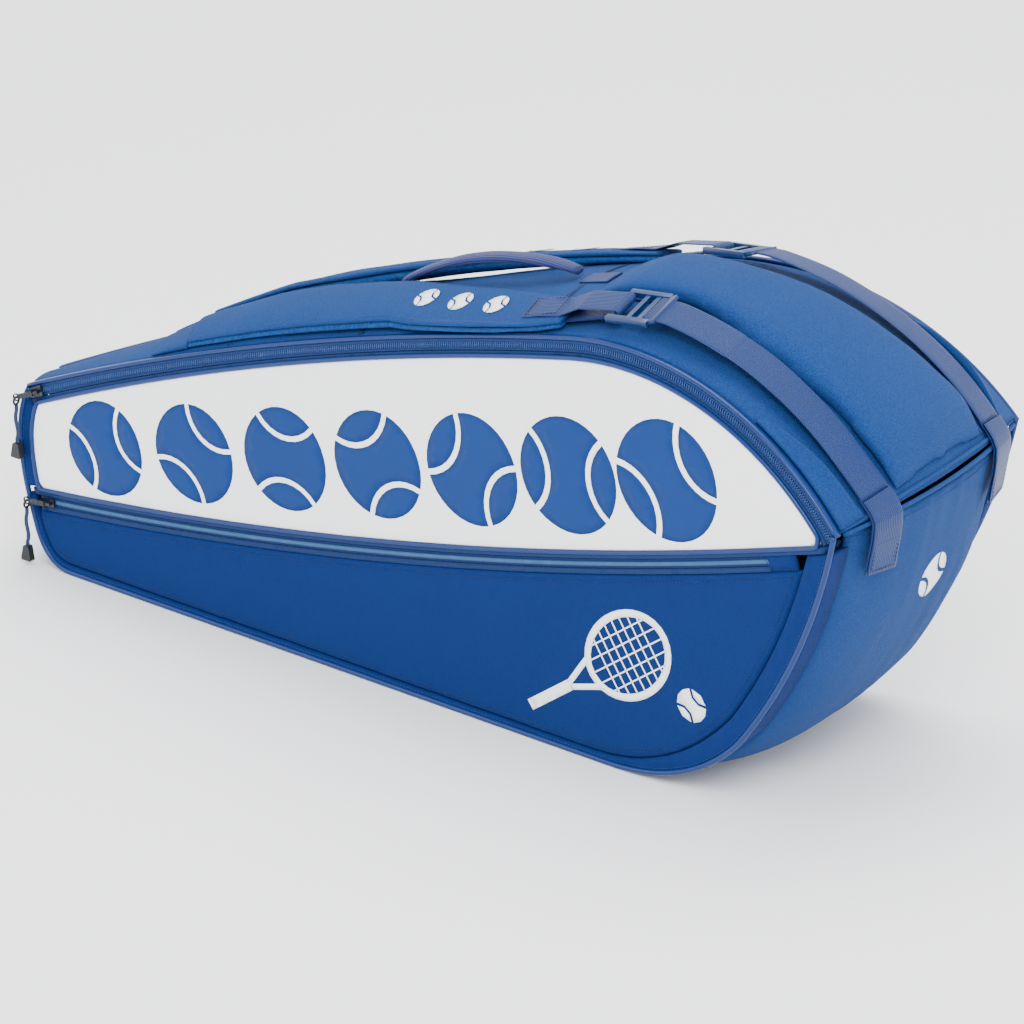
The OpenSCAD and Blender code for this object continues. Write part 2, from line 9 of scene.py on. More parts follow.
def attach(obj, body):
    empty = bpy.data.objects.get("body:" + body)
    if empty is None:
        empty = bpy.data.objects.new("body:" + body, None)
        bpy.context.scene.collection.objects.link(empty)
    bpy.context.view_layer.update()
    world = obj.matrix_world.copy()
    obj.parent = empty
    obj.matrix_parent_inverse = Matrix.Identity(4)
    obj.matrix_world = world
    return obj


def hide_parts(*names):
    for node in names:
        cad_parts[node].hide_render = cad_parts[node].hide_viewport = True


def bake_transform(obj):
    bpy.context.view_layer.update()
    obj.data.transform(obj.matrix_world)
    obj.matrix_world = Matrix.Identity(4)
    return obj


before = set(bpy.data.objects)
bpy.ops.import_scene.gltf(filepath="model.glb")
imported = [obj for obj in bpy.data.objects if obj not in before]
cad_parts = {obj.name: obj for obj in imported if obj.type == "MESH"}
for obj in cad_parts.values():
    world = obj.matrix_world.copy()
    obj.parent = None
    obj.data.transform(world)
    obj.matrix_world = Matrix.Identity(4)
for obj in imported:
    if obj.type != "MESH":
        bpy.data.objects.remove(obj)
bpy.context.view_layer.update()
scene = bpy.context.scene
print("bag frame loaded,", len(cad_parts), "parts")

# camera, floor and light
cameraSetup = {"azimuth": 32.61, "elevation": 23.14, "place": (3.26934, -5.04963, 2.68908), "lens": 316.4,
               "sensor": 36, "farthest": 60}


def placeCamera(setup):
    azimuth = math.radians(setup["azimuth"])
    elevation = math.radians(setup["elevation"])
    ahead = Vector((-math.sin(azimuth) * math.cos(elevation),
                    math.cos(azimuth) * math.cos(elevation), -math.sin(elevation)))
    cameraData = bpy.data.cameras.new("viewCamera")
    cameraData.lens = setup["lens"]
    cameraData.sensor_width = setup["sensor"]
    cameraData.clip_end = setup["farthest"]
    camera = bpy.data.objects.new("viewCamera", cameraData)
    camera.location = setup["place"]
    camera.rotation_euler = ahead.to_track_quat("-Z", "Y").to_euler()
    scene.collection.objects.link(camera)
    scene.camera = camera


placeCamera(cameraSetup)

studio = {
    "floorSize": 14.0,
    "floorColour": (0.93, 0.93, 0.94, 1),
    "floorRoughness": 0.85,
    "worldColour": (0.95, 0.97, 1.0, 1),
    "worldStrength": 1.6,
    # name: place, aimed at, side length, watts
    "lamps": {
        "keyLamp": ((1.6, -2.2, 2.6), (0.0, 0.0, 0.15), 1.6, 115),
        "fillLamp": ((-2.6, -2.4, 1.5), (0.0, 0.0, 0.15), 2.2, 55),
        "topLamp": ((-0.1, 1.0, 2.8), (0.0, 0.0, 0.2), 2.0, 80),
        "headLamp": ((3.0, 0.4, 1.1), (0.3, 0.0, 0.15), 1.5, 26),
    },
}


def buildStudio(setup):
    half = setup["floorSize"] / 2
    mesh = bpy.data.meshes.new("studioFloor")
    corners = [(-half, -half, 0), (half, -half, 0), (half, half, 0), (-half, half, 0)]
    mesh.from_pydata(corners, [], [(0, 1, 2, 3)])
    floor = bpy.data.objects.new("studioFloor", mesh)
    scene.collection.objects.link(floor)
    paint = bpy.data.materials.new("studioFloor")
    paint.use_nodes = True
    shader = paint.node_tree.nodes["Principled BSDF"]
    shader.inputs["Base Color"].default_value = setup["floorColour"]
    shader.inputs["Roughness"].default_value = setup["floorRoughness"]
    mesh.materials.append(paint)
    world = bpy.data.worlds.new("studioWorld")
    world.use_nodes = True
    background = world.node_tree.nodes["Background"]
    background.inputs["Color"].default_value = setup["worldColour"]
    background.inputs["Strength"].default_value = setup["worldStrength"]
    scene.world = world
    for name, (place, target, side, watts) in setup["lamps"].items():
        lampData = bpy.data.lights.new(name, "AREA")
        lampData.energy = watts
        lampData.size = side
        lamp = bpy.data.objects.new(name, lampData)
        lamp.location = place
        lamp.rotation_euler = (Vector(target) - Vector(place)).to_track_quat("-Z", "Y").to_euler()
        scene.collection.objects.link(lamp)


buildStudio(studio)

# the bag's own lines, in metres
bagSizes = {"length": 0.778, "height": 0.324, "tipHalf": 0.022, "headHalf": 0.128, "crown": 0.016,
            "lowest": 0.0002}
wedge = math.asin((bagSizes["headHalf"] - bagSizes["tipHalf"]) / bagSizes["length"])
middleHalf = (bagSizes["headHalf"] + bagSizes["tipHalf"]) / 2
mm = 0.001
sides = {"front": -1, "rear": 1}


def onPanel(side, along, up, out):  # a point in a side panel's own plane, out from its face
    return Vector((along * math.cos(wedge) - out * math.sin(wedge),
                   side * (middleHalf + along * math.sin(wedge) + out * math.cos(wedge)), up))


def panelOut(side):
    return Vector((-math.sin(wedge), side * math.cos(wedge), 0))


def outlinePoint(alongShare, upShare):
    return np.array([alongShare * bagSizes["length"], upShare * bagSizes["height"]])


zipStart = outlinePoint(-0.487, 0.44)
zipBend = outlinePoint(0.189, 0.982)
zipEnd = outlinePoint(0.5, 0.719)
toe = outlinePoint(0.334, 0)
heel = outlinePoint(-0.468, 0)
tipLow = outlinePoint(-0.5, 0.24)
tipHigh = outlinePoint(-0.5, 0.39)
pocketStart = outlinePoint(-0.472, 0.164)
pocketEnd = outlinePoint(0.424, 0.614)
chainDepth = 6 * mm
zipSag = 14 * mm
pocketSag = -18 * mm


def arcLine(first, last, sag, count, inset=0.0):
    chord = last - first
    span = np.linalg.norm(chord)
    chord = chord / span
    left = np.array([-chord[1], chord[0]])
    bulge = abs(sag)
    radius = (span * span / 4 + bulge * bulge) / (2 * bulge)
    centre = (first + last) / 2 - left * math.copysign(radius - bulge, sag)
    halfAngle = math.asin(span / 2 / radius)
    angles = np.linspace(-halfAngle, halfAngle, count)
    away = left * math.copysign(1, sag)
    return np.array([centre + (radius - inset) * (away * math.cos(a) + chord * math.sin(a)) for a in angles])


def bendLine(first, corner, last, count):
    return np.array([first * (1 - k) ** 2 + corner * 2 * k * (1 - k) + last * k * k
                     for k in np.linspace(0, 1, count)])


def zipLine():
    return np.vstack([arcLine(zipStart, zipBend, zipSag, 60), arcLine(zipBend, zipEnd, 36 * mm, 40)[1:]])


def pocketLine():
    return arcLine(pocketStart, pocketEnd, pocketSag, 90)


headLine = arcLine(zipEnd, toe, 21 * mm, 40)
headLine = headLine[headLine[:, 1] > 50 * mm]
toeLine = bendLine(headLine[-1], toe, toe - np.array([75 * mm, 0]), 24)
tipLine = np.vstack([bendLine(heel + np.array([26 * mm, 0]), heel, heel * 0.6 + tipLow * 0.4, 12),
                     bendLine(heel * 0.4 + tipLow * 0.6, tipLow, (tipLow + tipHigh) / 2, 10),
                     bendLine((tipLow + tipHigh) / 2, tipHigh, zipStart, 12)[1:]])
rimLine = np.vstack([headLine, toeLine[1:], tipLine])


class Trail:  # a line walked by distance
    def __init__(self, points):
        self.points = points
        self.marks = np.concatenate([[0], np.cumsum(np.linalg.norm(np.diff(points, axis=0), axis=1))])
        self.length = self.marks[-1]

    def at(self, distance):
        return np.array([np.interp(distance, self.marks, self.points[:, 0]),
                         np.interp(distance, self.marks, self.points[:, 1])])

    def outAt(self, distance):
        ahead = self.at(min(self.length, distance + 4 * mm)) - self.at(max(0, distance - 4 * mm))
        ahead = ahead / np.linalg.norm(ahead)
        return np.array([-ahead[1], ahead[0]])


seamAt = Trail(zipLine()).length          # where the head's seam crosses
overTrail = Trail(np.vstack([zipLine(), headLine[1:], toeLine[1:]]))
underTrail = Trail(tipLine)
topEdge = 6.3 * mm
lowEdge = 19.8 * mm


def halfAt(along, edge=topEdge):
    return middleHalf + along * math.sin(wedge) - edge


def crownAt(distance):
    return bagSizes["crown"] * np.interp(
        distance / seamAt, [0, 0.1, 0.2, 0.3, 0.45, 0.65, 0.8, 1, 1.1, 1.2, 1.28, 1.34, 1.38],
        [0.125, 0.2, 0.65, 1, 0.93, 0.86, 0.9, 1.05, 1.35, 1.4, 0.85, 0.22, 0])


def skinPoint(trail, distance, across, lift, rise, edge):
    place = trail.at(distance)
    out = trail.outAt(distance)
    half = halfAt(place[0], edge)
    fullness = np.interp(distance / seamAt, [1, 1.12], [2, 4])
    height = rise * (1 - min(1, abs(across) / half) ** fullness) + lift
    return Vector(((place[0] + out[0] * height) * math.cos(wedge), across, place[1] + out[1] * height))


def topPoint(distance, across, lift):
    return skinPoint(overTrail, distance, across, lift, crownAt(distance), topEdge)


# making meshes
def linkMesh(name, points, faces, finish, uv=None):
    mesh = bpy.data.meshes.new(name)
    mesh.from_pydata([tuple(p) for p in points], [], faces)
    mesh.update()
    if uv is not None:
        layer = mesh.uv_layers.new(name="cloth")
        corner = np.zeros(len(mesh.loops), int)
        mesh.loops.foreach_get("vertex_index", corner)
        layer.data.foreach_set("uv", np.asarray(uv, np.float32)[corner].ravel())
    mesh.materials.append(finish)
    shadeSmooth(mesh)
    piece = bpy.data.objects.new(name, mesh)
    scene.collection.objects.link(piece)
    return piece


def turnOutwards(piece):
    work = bmesh.new()
    work.from_mesh(piece.data)
    bmesh.ops.remove_doubles(work, verts=work.verts, dist=1e-6)
    bmesh.ops.recalc_face_normals(work, faces=work.faces)
    work.to_mesh(piece.data)
    work.free()


def settle(piece, body, nodes=()):
    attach(piece, body)
    if nodes:
        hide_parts(*nodes)
    return piece


def tubeOfRings(name, rings, finish):
    rings = [[Vector(p) for p in ring] for ring in rings]
    count = len(rings[0])
    points = [p for ring in rings for p in ring]
    faces = []
    for i in range(len(rings) - 1):
        for j in range(count):
            k = (j + 1) % count
            faces.append((i * count + j, i * count + k, (i + 1) * count + k, (i + 1) * count + j))
    along = 0.0
    uv = []
    for i, ring in enumerate(rings):
        if i:
            along += (sum(ring, Vector()) / count - sum(rings[i - 1], Vector()) / count).length
        around = 0.0
        for j, p in enumerate(ring):
            if j:
                around += (p - ring[j - 1]).length
            uv.append((along, around))
    for i in (0, len(rings) - 1):
        points.append(sum(rings[i], Vector()) / count)
        uv.append(uv[i * count])
        for j in range(count):
            faces.append((i * count + j, i * count + (j + 1) % count, len(points) - 1))
    piece = linkMesh(name, points, faces, finish, uv)
    turnOutwards(piece)
    return piece


def padRing(distance, low, high, floor, ceiling, count, square):  # a rounded section on the top's surface
    ring = []
    for j in range(count):
        angle = 2 * math.pi * j / count
        c, s = math.cos(angle), math.sin(angle)
        across = (low + high) / 2 + (high - low) / 2 * math.copysign(abs(c) ** (2 / square), c)
        lift = (floor + ceiling) / 2 + (ceiling - floor) / 2 * math.copysign(abs(s) ** (2 / square), s)
        ring.append(topPoint(distance, across, lift))
    return ring


def onTop(name, start, stop, steps, section, finish, count, square):
    rings = []
    for i in range(steps + 1):
        k = i / steps
        low, high, floor, ceiling = section(k)
        rings.append(padRing(start + (stop - start) * k, low, high, floor, ceiling, count, square))
    return tubeOfRings(name, rings, finish)


def roundRing(centre, radius, across, up, count):
    return [centre + radius * (across * math.cos(a) + up * math.sin(a))
            for a in np.linspace(0, 2 * math.pi, count, endpoint=False)]


def crumple(piece, amount, scale, seed):  # small soft waves along the normals
    mesh = piece.data
    normals = [v.normal.copy() for v in mesh.vertices]
    shift = Vector((seed * 7.3, seed * 3.1, seed * 5.7))
    for vertex, normal in zip(mesh.vertices, normals):
        vertex.co += normal * amount * noise.noise(vertex.co * scale + shift)
    mesh.update()
    return piece


def keepAboveFloor(piece):
    for vertex in piece.data.vertices:
        if vertex.co.z < bagSizes["lowest"]:
            vertex.co.z = bagSizes["lowest"]
    piece.data.update()


def bakedMesh(piece):  # the piece's mesh with its modifiers worked in
    return bpy.data.meshes.new_from_object(piece.evaluated_get(bpy.context.evaluated_depsgraph_get()))


def shadeSmooth(mesh):
    mesh.polygons.foreach_set("use_smooth", [True] * len(mesh.polygons))


def waveAt(x, y, z):
    return noise.noise(Vector((x, y, z)))


# finishes
def newNode(tree, kind, **values):
    node = tree.nodes.new(kind)
    for key, value in values.items():
        setattr(node, key, value)
    return node


def mathNode(tree, operation, first, second=None):
    node = newNode(tree, "ShaderNodeMath", operation=operation)
    for index, value in enumerate((first, second)):
        if value is None:
            continue
        if isinstance(value, (int, float)):
            node.inputs[index].default_value = value
        else:
            tree.links.new(value, node.inputs[index])
    return node.outputs[0]


def noiseNode(tree, vector, detail, scale=1.0):
    node = newNode(tree, "ShaderNodeTexNoise")
    node.inputs["Scale"].default_value = scale
    node.inputs["Detail"].default_value = detail
    tree.links.new(vector, node.inputs["Vector"])
    return node


def rangeNode(tree, value, ends):
    node = newNode(tree, "ShaderNodeMapRange")
    for label, end in ends.items():
        node.inputs[label].default_value = end
    tree.links.new(value, node.inputs["Value"])
    return node


def shaderGroup(name, inputs, outputs):  # a vector and some numbers in, numbers out
    group = bpy.data.node_groups.new(name, "ShaderNodeTree")
    group.interface.new_socket("Vector", in_out="INPUT", socket_type="NodeSocketVector")
    for label, default in inputs.items():
        socket = group.interface.new_socket(label, in_out="INPUT", socket_type="NodeSocketFloat")
        socket.default_value = default
    for label in outputs:
        group.interface.new_socket(label, in_out="OUTPUT", socket_type="NodeSocketFloat")
    return group, group.nodes.new("NodeGroupInput"), group.nodes.new("NodeGroupOutput")


def buildWeaveGroup():  # plain weave: threads over and under, with a yarn-to-yarn tone
    group, given, out = shaderGroup("bagWeave", {"Threads": 9000.0, "Yarn Scale": 700.0},
                                    ["Height", "Yarn Tone", "Broad Tone"])
    split = newNode(group, "ShaderNodeSeparateXYZ")
    group.links.new(given.outputs["Vector"], split.inputs[0])
    warpShare = mathNode(group, "MULTIPLY", split.outputs["Y"], 0.9)
    weftShare = mathNode(group, "MULTIPLY", split.outputs["Y"], 0.8)
    warp = mathNode(group, "ADD", split.outputs["X"], warpShare)
    weft = mathNode(group, "SUBTRACT", split.outputs["Z"], weftShare)
    warpWave = mathNode(group, "SINE", mathNode(group, "MULTIPLY", warp, given.outputs["Threads"]))
    weftWave = mathNode(group, "SINE", mathNode(group, "MULTIPLY", weft, given.outputs["Threads"]))
    group.links.new(mathNode(group, "MULTIPLY", warpWave, weftWave), out.inputs["Height"])
    yarn = noiseNode(group, given.outputs["Vector"], 2)
    group.links.new(given.outputs["Yarn Scale"], yarn.inputs["Scale"])
    sharpen = rangeNode(group, yarn.outputs["Fac"], {"From Min": 0.36, "From Max": 0.64})
    group.links.new(sharpen.outputs[0], out.inputs["Yarn Tone"])
    broad = noiseNode(group, given.outputs["Vector"], 3, 14)
    group.links.new(broad.outputs["Fac"], out.inputs["Broad Tone"])
    return group


def buildRibGroup():  # ribbed webbing and tapes, read along the piece's own UV; its rib tone is painted light, dark in the troughs and light on the crests
    group, given, out = shaderGroup("bagRibs", {"Ribs": 3600.0, "Picks": 5200.0}, ["Height", "Rib Painted Light"])
    split = newNode(group, "ShaderNodeSeparateXYZ")
    group.links.new(given.outputs["Vector"], split.inputs[0])
    rib = mathNode(group, "SINE", mathNode(group, "MULTIPLY", split.outputs["Y"], given.outputs["Ribs"]))
    pickTurn = mathNode(group, "ADD", mathNode(group, "MULTIPLY", split.outputs["X"], given.outputs["Picks"]),
                        mathNode(group, "MULTIPLY", rib, 1.2))
    pick = mathNode(group, "SINE", pickTurn)
    group.links.new(mathNode(group, "ADD", rib, mathNode(group, "MULTIPLY", pick, 0.5)), out.inputs["Height"])
    # painted shade and highlight: the rib wave that raises the crests also lightens them and darkens the
    # troughs
    tone = mathNode(group, "ADD", mathNode(group, "MULTIPLY", rib, 0.3), 0.5)
    group.links.new(tone, out.inputs["Rib Painted Light"])
    return group


def buildScuffGroup():  # rubbed and dusty patches
    group, given, out = shaderGroup("bagScuff", {"Scale": 60.0, "Spread": 0.6}, ["Mask"])
    grain = noiseNode(group, given.outputs["Vector"], 6)
    grain.inputs["Roughness"].default_value = 0.65
    group.links.new(given.outputs["Scale"], grain.inputs["Scale"])
    window = rangeNode(group, grain.outputs["Fac"], {"From Max": 0.85})
    group.links.new(given.outputs["Spread"], window.inputs["From Min"])
    group.links.new(window.outputs[0], out.inputs["Mask"])
    return group


weaveGroup = buildWeaveGroup()
ribGroup = buildRibGroup()
scuffGroup = buildScuffGroup()


def useGroup(tree, group, vector, **values):
    node = tree.nodes.new("ShaderNodeGroup")
    node.node_tree = group
    tree.links.new(vector, node.inputs["Vector"])
    for label, value in values.items():
        node.inputs[label.replace("_", " ")].default_value = value
    return node


def mixColour(tree, factor, first, second):
    node = newNode(tree, "ShaderNodeMix", data_type="RGBA")
    if isinstance(factor, (int, float)):
        node.inputs["Factor"].default_value = factor
    else:
        tree.links.new(factor, node.inputs["Factor"])
    for label, value in (("A", first), ("B", second)):
        socket = [s for s in node.inputs if s.name == label and s.type == "RGBA"][0]
        if isinstance(value, tuple):
            socket.default_value = (*value, 1)
        else:
            tree.links.new(value, socket)
    return [s for s in node.outputs if s.type == "RGBA"][0]


def startFinish(name, shaderValues):
    finish = bpy.data.materials.new(name)
    finish.use_nodes = True
    tree = finish.node_tree
    shader = tree.nodes["Principled BSDF"]
    for label, value in shaderValues.items():
        shader.inputs[label].default_value = value
    return finish, tree, shader


def addBump(tree, shader, height, distance, strength=1.0, below=None):
    bump = newNode(tree, "ShaderNodeBump")
    bump.inputs["Distance"].default_value = distance
    bump.inputs["Strength"].default_value = strength
    tree.links.new(height, bump.inputs["Height"])
    if below is not None:
        tree.links.new(below, bump.inputs["Normal"])
    tree.links.new(bump.outputs[0], shader.inputs["Normal"])
    return bump.outputs[0]


def wovenFinish(name, dark, light, look):
    finish, tree, shader = startFinish(name, {
        "Roughness": look["roughness"], "Sheen Weight": look["sheen"], "Sheen Roughness": 0.45,
        "Sheen Tint": (*look["sheenTint"], 1), "Specular IOR Level": 0.12})
    where = newNode(tree, "ShaderNodeTexCoord").outputs["Object"]
    weave = useGroup(tree, weaveGroup, where, Threads=look["threads"], Yarn_Scale=look["yarn"])
    scuff = useGroup(tree, scuffGroup, where, Scale=45.0, Spread=0.58)
    yarn = mathNode(tree, "MULTIPLY", weave.outputs["Yarn Tone"], look["heather"])
    tone = mixColour(tree, yarn, dark, light)
    faded = mixColour(tree, mathNode(tree, "MULTIPLY", scuff.outputs["Mask"], look["wear"]), tone, light)
    deep = tuple(0.72 * c for c in dark)
    broad = mathNode(tree, "MULTIPLY", weave.outputs["Broad Tone"], look["mottle"])
    tree.links.new(mixColour(tree, broad, faded, deep), shader.inputs["Base Color"])
    creases = noiseNode(tree, where, 5, look.get("creaseScale", 38.0))
    soft = addBump(tree, shader, creases.outputs["Fac"], look.get("crease", 0.0012), 0.5)
    addBump(tree, shader, weave.outputs["Height"], look["bump"], 0.6, soft)
    return finish


def ribbedFinish(name, dark, light, look):
    finish, tree, shader = startFinish(name, {
        "Roughness": look["roughness"], "Sheen Weight": look["sheen"], "Sheen Roughness": 0.3,
        "Sheen Tint": (*look["sheenTint"], 1), "Coat Weight": look.get("coat", 0), "Coat Roughness": 0.35,
        "Specular IOR Level": 0.2})
    where = newNode(tree, "ShaderNodeUVMap", uv_map="cloth").outputs["UV"]
    ribs = useGroup(tree, ribGroup, where, Ribs=look["ribs"], Picks=look["picks"])
    scuff = useGroup(tree, scuffGroup, where, Scale=90.0, Spread=0.55)
    # painted shade in the rib troughs and painted highlight on the crests, both from the rib wave
    tone = mixColour(tree, ribs.outputs["Rib Painted Light"], dark, light)
    faded = mixColour(tree, mathNode(tree, "MULTIPLY", scuff.outputs["Mask"], look["wear"]), tone, light)
    tree.links.new(faded, shader.inputs["Base Color"])
    addBump(tree, shader, ribs.outputs["Height"], look["bump"], 0.7)
    return finish


def smoothFinish(name, dark, light, look):
    finish, tree, shader = startFinish(name, {
        "Roughness": look["roughness"], "Coat Weight": look.get("coat", 0), "Coat Roughness": 0.2,
        "Metallic": look.get("metallic", 0.0), "Specular IOR Level": look.get("specular", 0.3)})
    where = newNode(tree, "ShaderNodeTexCoord").outputs["Object"]
    scuff = useGroup(tree, scuffGroup, where, Scale=look.get("scuffScale", 160.0), Spread=0.5)
    colour = mixColour(tree, mathNode(tree, "MULTIPLY", scuff.outputs["Mask"], look["wear"]), dark, light)
    tree.links.new(colour, shader.inputs["Base Color"])
    rough = rangeNode(tree, scuff.outputs["Mask"], {
        "To Min": look["roughness"], "To Max": min(1.0, look["roughness"] + 0.25)})
    tree.links.new(rough.outputs[0], shader.inputs["Roughness"])
    grain = noiseNode(tree, where, 3, look.get("grainScale", 900.0))
    addBump(tree, shader, grain.outputs["Fac"], look.get("grain", 0.00008), 0.5)
    return finish


clothLook = {"roughness": 0.78, "sheen": 0.06, "sheenTint": (0.4, 0.6, 1.0), "threads": 8200.0,
             "yarn": 1150.0, "heather": 0.75, "wear": 0.25, "mottle": 0.35, "bump": 0.00022}
melange = wovenFinish("melangeCloth", (0.0028, 0.0272, 0.132), (0.0128, 0.0656, 0.232), clothLook)
pocketCloth = wovenFinish("pocketCloth", (0.00034, 0.0153, 0.1062), (0.00136, 0.0289, 0.153), {
    **clothLook, "threads": 11000.0, "yarn": 950.0, "heather": 0.6, "wear": 0.12, "sheen": 0.03})
edgeMesh = wovenFinish("spacerMesh", (0.0017, 0.034, 0.1615), (0.0085, 0.0765, 0.255), {
    **clothLook, "threads": 3400.0, "yarn": 420.0, "bump": 0.0004, "sheen": 0.08})
liningCloth = wovenFinish("liningCloth", (0.012, 0.022, 0.05), (0.03, 0.05, 0.1), {
    **clothLook, "roughness": 0.6, "threads": 14000.0, "creaseScale": 60.0, "crease": 0.002,
    "sheenTint": (0.8, 0.85, 1)})
# ribbed finishes: the first colour is painted shade for the rib troughs, and the second is painted highlight
# for the crests and also the faded wear colour
webCloth = ribbedFinish("strapWebbing", (0.003, 0.01575, 0.0825), (0.009, 0.0345, 0.15), {
    "roughness": 0.36, "sheen": 0.04, "sheenTint": (0.5, 0.55, 1.0), "coat": 0.05,
    "ribs": 3400.0, "picks": 5200.0, "wear": 0.3, "bump": 0.0003})
handleCloth = ribbedFinish("handleWebbing", (0.008, 0.0152, 0.08), (0.0208, 0.0336, 0.144), {
    "roughness": 0.45, "sheen": 0.14, "sheenTint": (0.7, 0.65, 1.0), "coat": 0.02,
    "ribs": 3000.0, "picks": 5600.0, "wear": 0.35, "bump": 0.0003})
tapeCloth = ribbedFinish("zipperTape", (0.0007, 0.014, 0.077), (0.0028, 0.028, 0.126), {
    "roughness": 0.6, "sheen": 0.05, "sheenTint": (0.6, 0.75, 1.0), "ribs": 5200.0, "picks": 7600.0,
    "wear": 0.15, "bump": 0.0002})
cordCloth = ribbedFinish("braidedCord", (0.01, 0.02, 0.06), (0.03, 0.05, 0.12), {
    "roughness": 0.55, "sheen": 0.3, "sheenTint": (0.7, 0.8, 1.0), "ribs": 2600.0, "picks": 3600.0,
    "wear": 0.2, "bump": 0.0003})
pipingCoat = smoothFinish("coatedPiping", (0.0008, 0.0192, 0.112), (0.008, 0.048, 0.184), {
    "roughness": 0.3, "coat": 0.08, "specular": 0.25, "wear": 0.1, "grain": 0.00005})
whiteCoat = smoothFinish("whiteCoatedCloth", (0.93, 0.935, 0.945), (0.86, 0.87, 0.89), {
    "roughness": 0.34, "coat": 0.15, "wear": 0.25, "grain": 0.00018, "grainScale": 1400.0,
    "scuffScale": 22.0})
coilNylon = smoothFinish("mainCoil", (0.0034, 0.034, 0.153), (0.0425, 0.1105, 0.306), {
    "roughness": 0.35, "coat": 0.2, "wear": 0.7})
lightCoil = smoothFinish("pocketCoil", (0.04, 0.128, 0.288), (0.112, 0.232, 0.4), {
    "roughness": 0.35, "coat": 0.2, "wear": 0.6})
darkMetal = smoothFinish("sliderMetal", (0.03, 0.035, 0.045), (0.22, 0.23, 0.25), {
    "roughness": 0.32, "metallic": 0.85, "wear": 0.5, "scuffScale": 400.0})
pullRubber = smoothFinish("pullRubber", (0.012, 0.013, 0.016), (0.05, 0.05, 0.06), {
    "roughness": 0.45, "coat": 0.1, "wear": 0.4, "scuffScale": 300.0, "grain": 0.0001})
buckleResin = smoothFinish("buckleResin", (0.00375, 0.0225, 0.0975), (0.03375, 0.0675, 0.18), {
    "roughness": 0.28, "coat": 0.35, "wear": 0.5, "scuffScale": 260.0})
boardResin = smoothFinish("stiffenerBoard", (0.05, 0.05, 0.055), (0.12, 0.12, 0.13), {
    "roughness": 0.6, "wear": 0.6, "scuffScale": 80.0, "grain": 0.0003})
threadBlue = smoothFinish("seamThread", (0.0024, 0.0272, 0.136), (0.016, 0.072, 0.24), {
    "roughness": 0.5, "coat": 0.1, "wear": 0.5})
threadDark = smoothFinish("seamThreadDark", (0.001, 0.009, 0.05), (0.004, 0.02, 0.09), {
    "roughness": 0.55, "wear": 0.4})
inkBlue = smoothFinish("inkBlue", (0.0017, 0.0289, 0.1487), (0.0051, 0.0425, 0.187), {
    "roughness": 0.5, "specular": 0.15, "wear": 0.6, "scuffScale": 30.0, "grain": 0.0001})
inkWhite = smoothFinish("inkWhite", (0.88, 0.89, 0.90), (0.75, 0.77, 0.8), {
    "roughness": 0.5, "wear": 0.4, "scuffScale": 60.0, "grain": 0.0001})
print("finishes built")

# zipper pull cords
pullSizes = {"tabLong": 18 * mm, "tabLevel": 5 * mm, "ringRadius": 2.8 * mm, "wireRadius": 0.9 * mm,
             "cord": 3 * mm, "sides": 12}
# sideways and down, in millimetres
cordRoute = [(0, 0), (0, 4), (-1, 8), (-1, 12), (0, 16), (1, 20), (1, 24), (0, 27), (0, 30)]


def startOfArc(first, last, sag, inset, distance):
    line = arcLine(first, last, sag, 400, inset)
    trail = Trail(line)
    share = distance / Trail(arcLine(first, last, sag, 400)).length
    place = trail.at(share * trail.length)
    heading = line[1] - line[0]
    return place, math.atan2(heading[1], heading[0])


parkedAt = 8.5 * mm
mainPark = startOfArc(zipStart, zipBend, zipSag, chainDepth, parkedAt)
pocketPark = startOfArc(pocketStart, pocketEnd, pocketSag, 0, parkedAt)


def eyeOf(park):
    place, turn = park
    return place - pullSizes["tabLong"] * np.array([math.cos(turn), math.sin(turn)])


def smoothRoute(points, count):  # the same route through every given point, with more points
    knots = np.array(points, float)
    marks = np.concatenate([[0], np.cumsum(np.linalg.norm(np.diff(knots, axis=0), axis=1))])
    return [np.array([np.interp(m, marks, knots[:, i]) for i in range(knots.shape[1])])
            for m in np.linspace(0, marks[-1], count)]


def buildCord(sideName, which, park):
    side = sides[sideName]
    eye = eyeOf(park)
    top = -(2 * pullSizes["ringRadius"] + pullSizes["wireRadius"])
    route = smoothRoute([(x * mm, top - y * mm) for x, y in cordRoute], 25)
    path = [onPanel(side, eye[0] + p[0], eye[1] + p[1], pullSizes["tabLevel"]) for p in route]
    across = onPanel(side, 1, 0, 0) - onPanel(side, 0, 0, 0)
    rings = [roundRing(p, pullSizes["cord"] / 2, across, panelOut(side), pullSizes["sides"]) for p in path]
    name = sideName + which + "Cord"
    cord = tubeOfRings(name, rings, cordCloth)
    body = sideName + "_" + which.lower() + "_pull"
    settle(cord, body, [body.replace("_pull", "_cord")])
    length = sum((b - a).length for a, b in zip(path, path[1:]))
    return length


cordLengths = [buildCord(sideName, which, park)
               for sideName in sides for which, park in (("Main", mainPark), ("Pocket", pocketPark))]
print("cords hung, each", round(1000 * cordLengths[0], 1), "mm long")

# flat sewn panels
def sidePlane(sideName):
    side = sides[sideName]

    def flatten(points):
        across = side * points[:, 1] - middleHalf
        along = points[:, 0] * math.cos(wedge) + across * math.sin(wedge)
        out = -points[:, 0] * math.sin(wedge) + across * math.cos(wedge)
        return np.stack([along, points[:, 2], out], 1)

    def place(along, up, out):
        return onPanel(side, along, up, out)
    return flatten, place


def centrePlane():  # x along, z up, y out
    def flatten(points):
        return points[:, [0, 2, 1]]

    def place(along, up, out):
        return Vector((along, out, up))
    return flatten, place


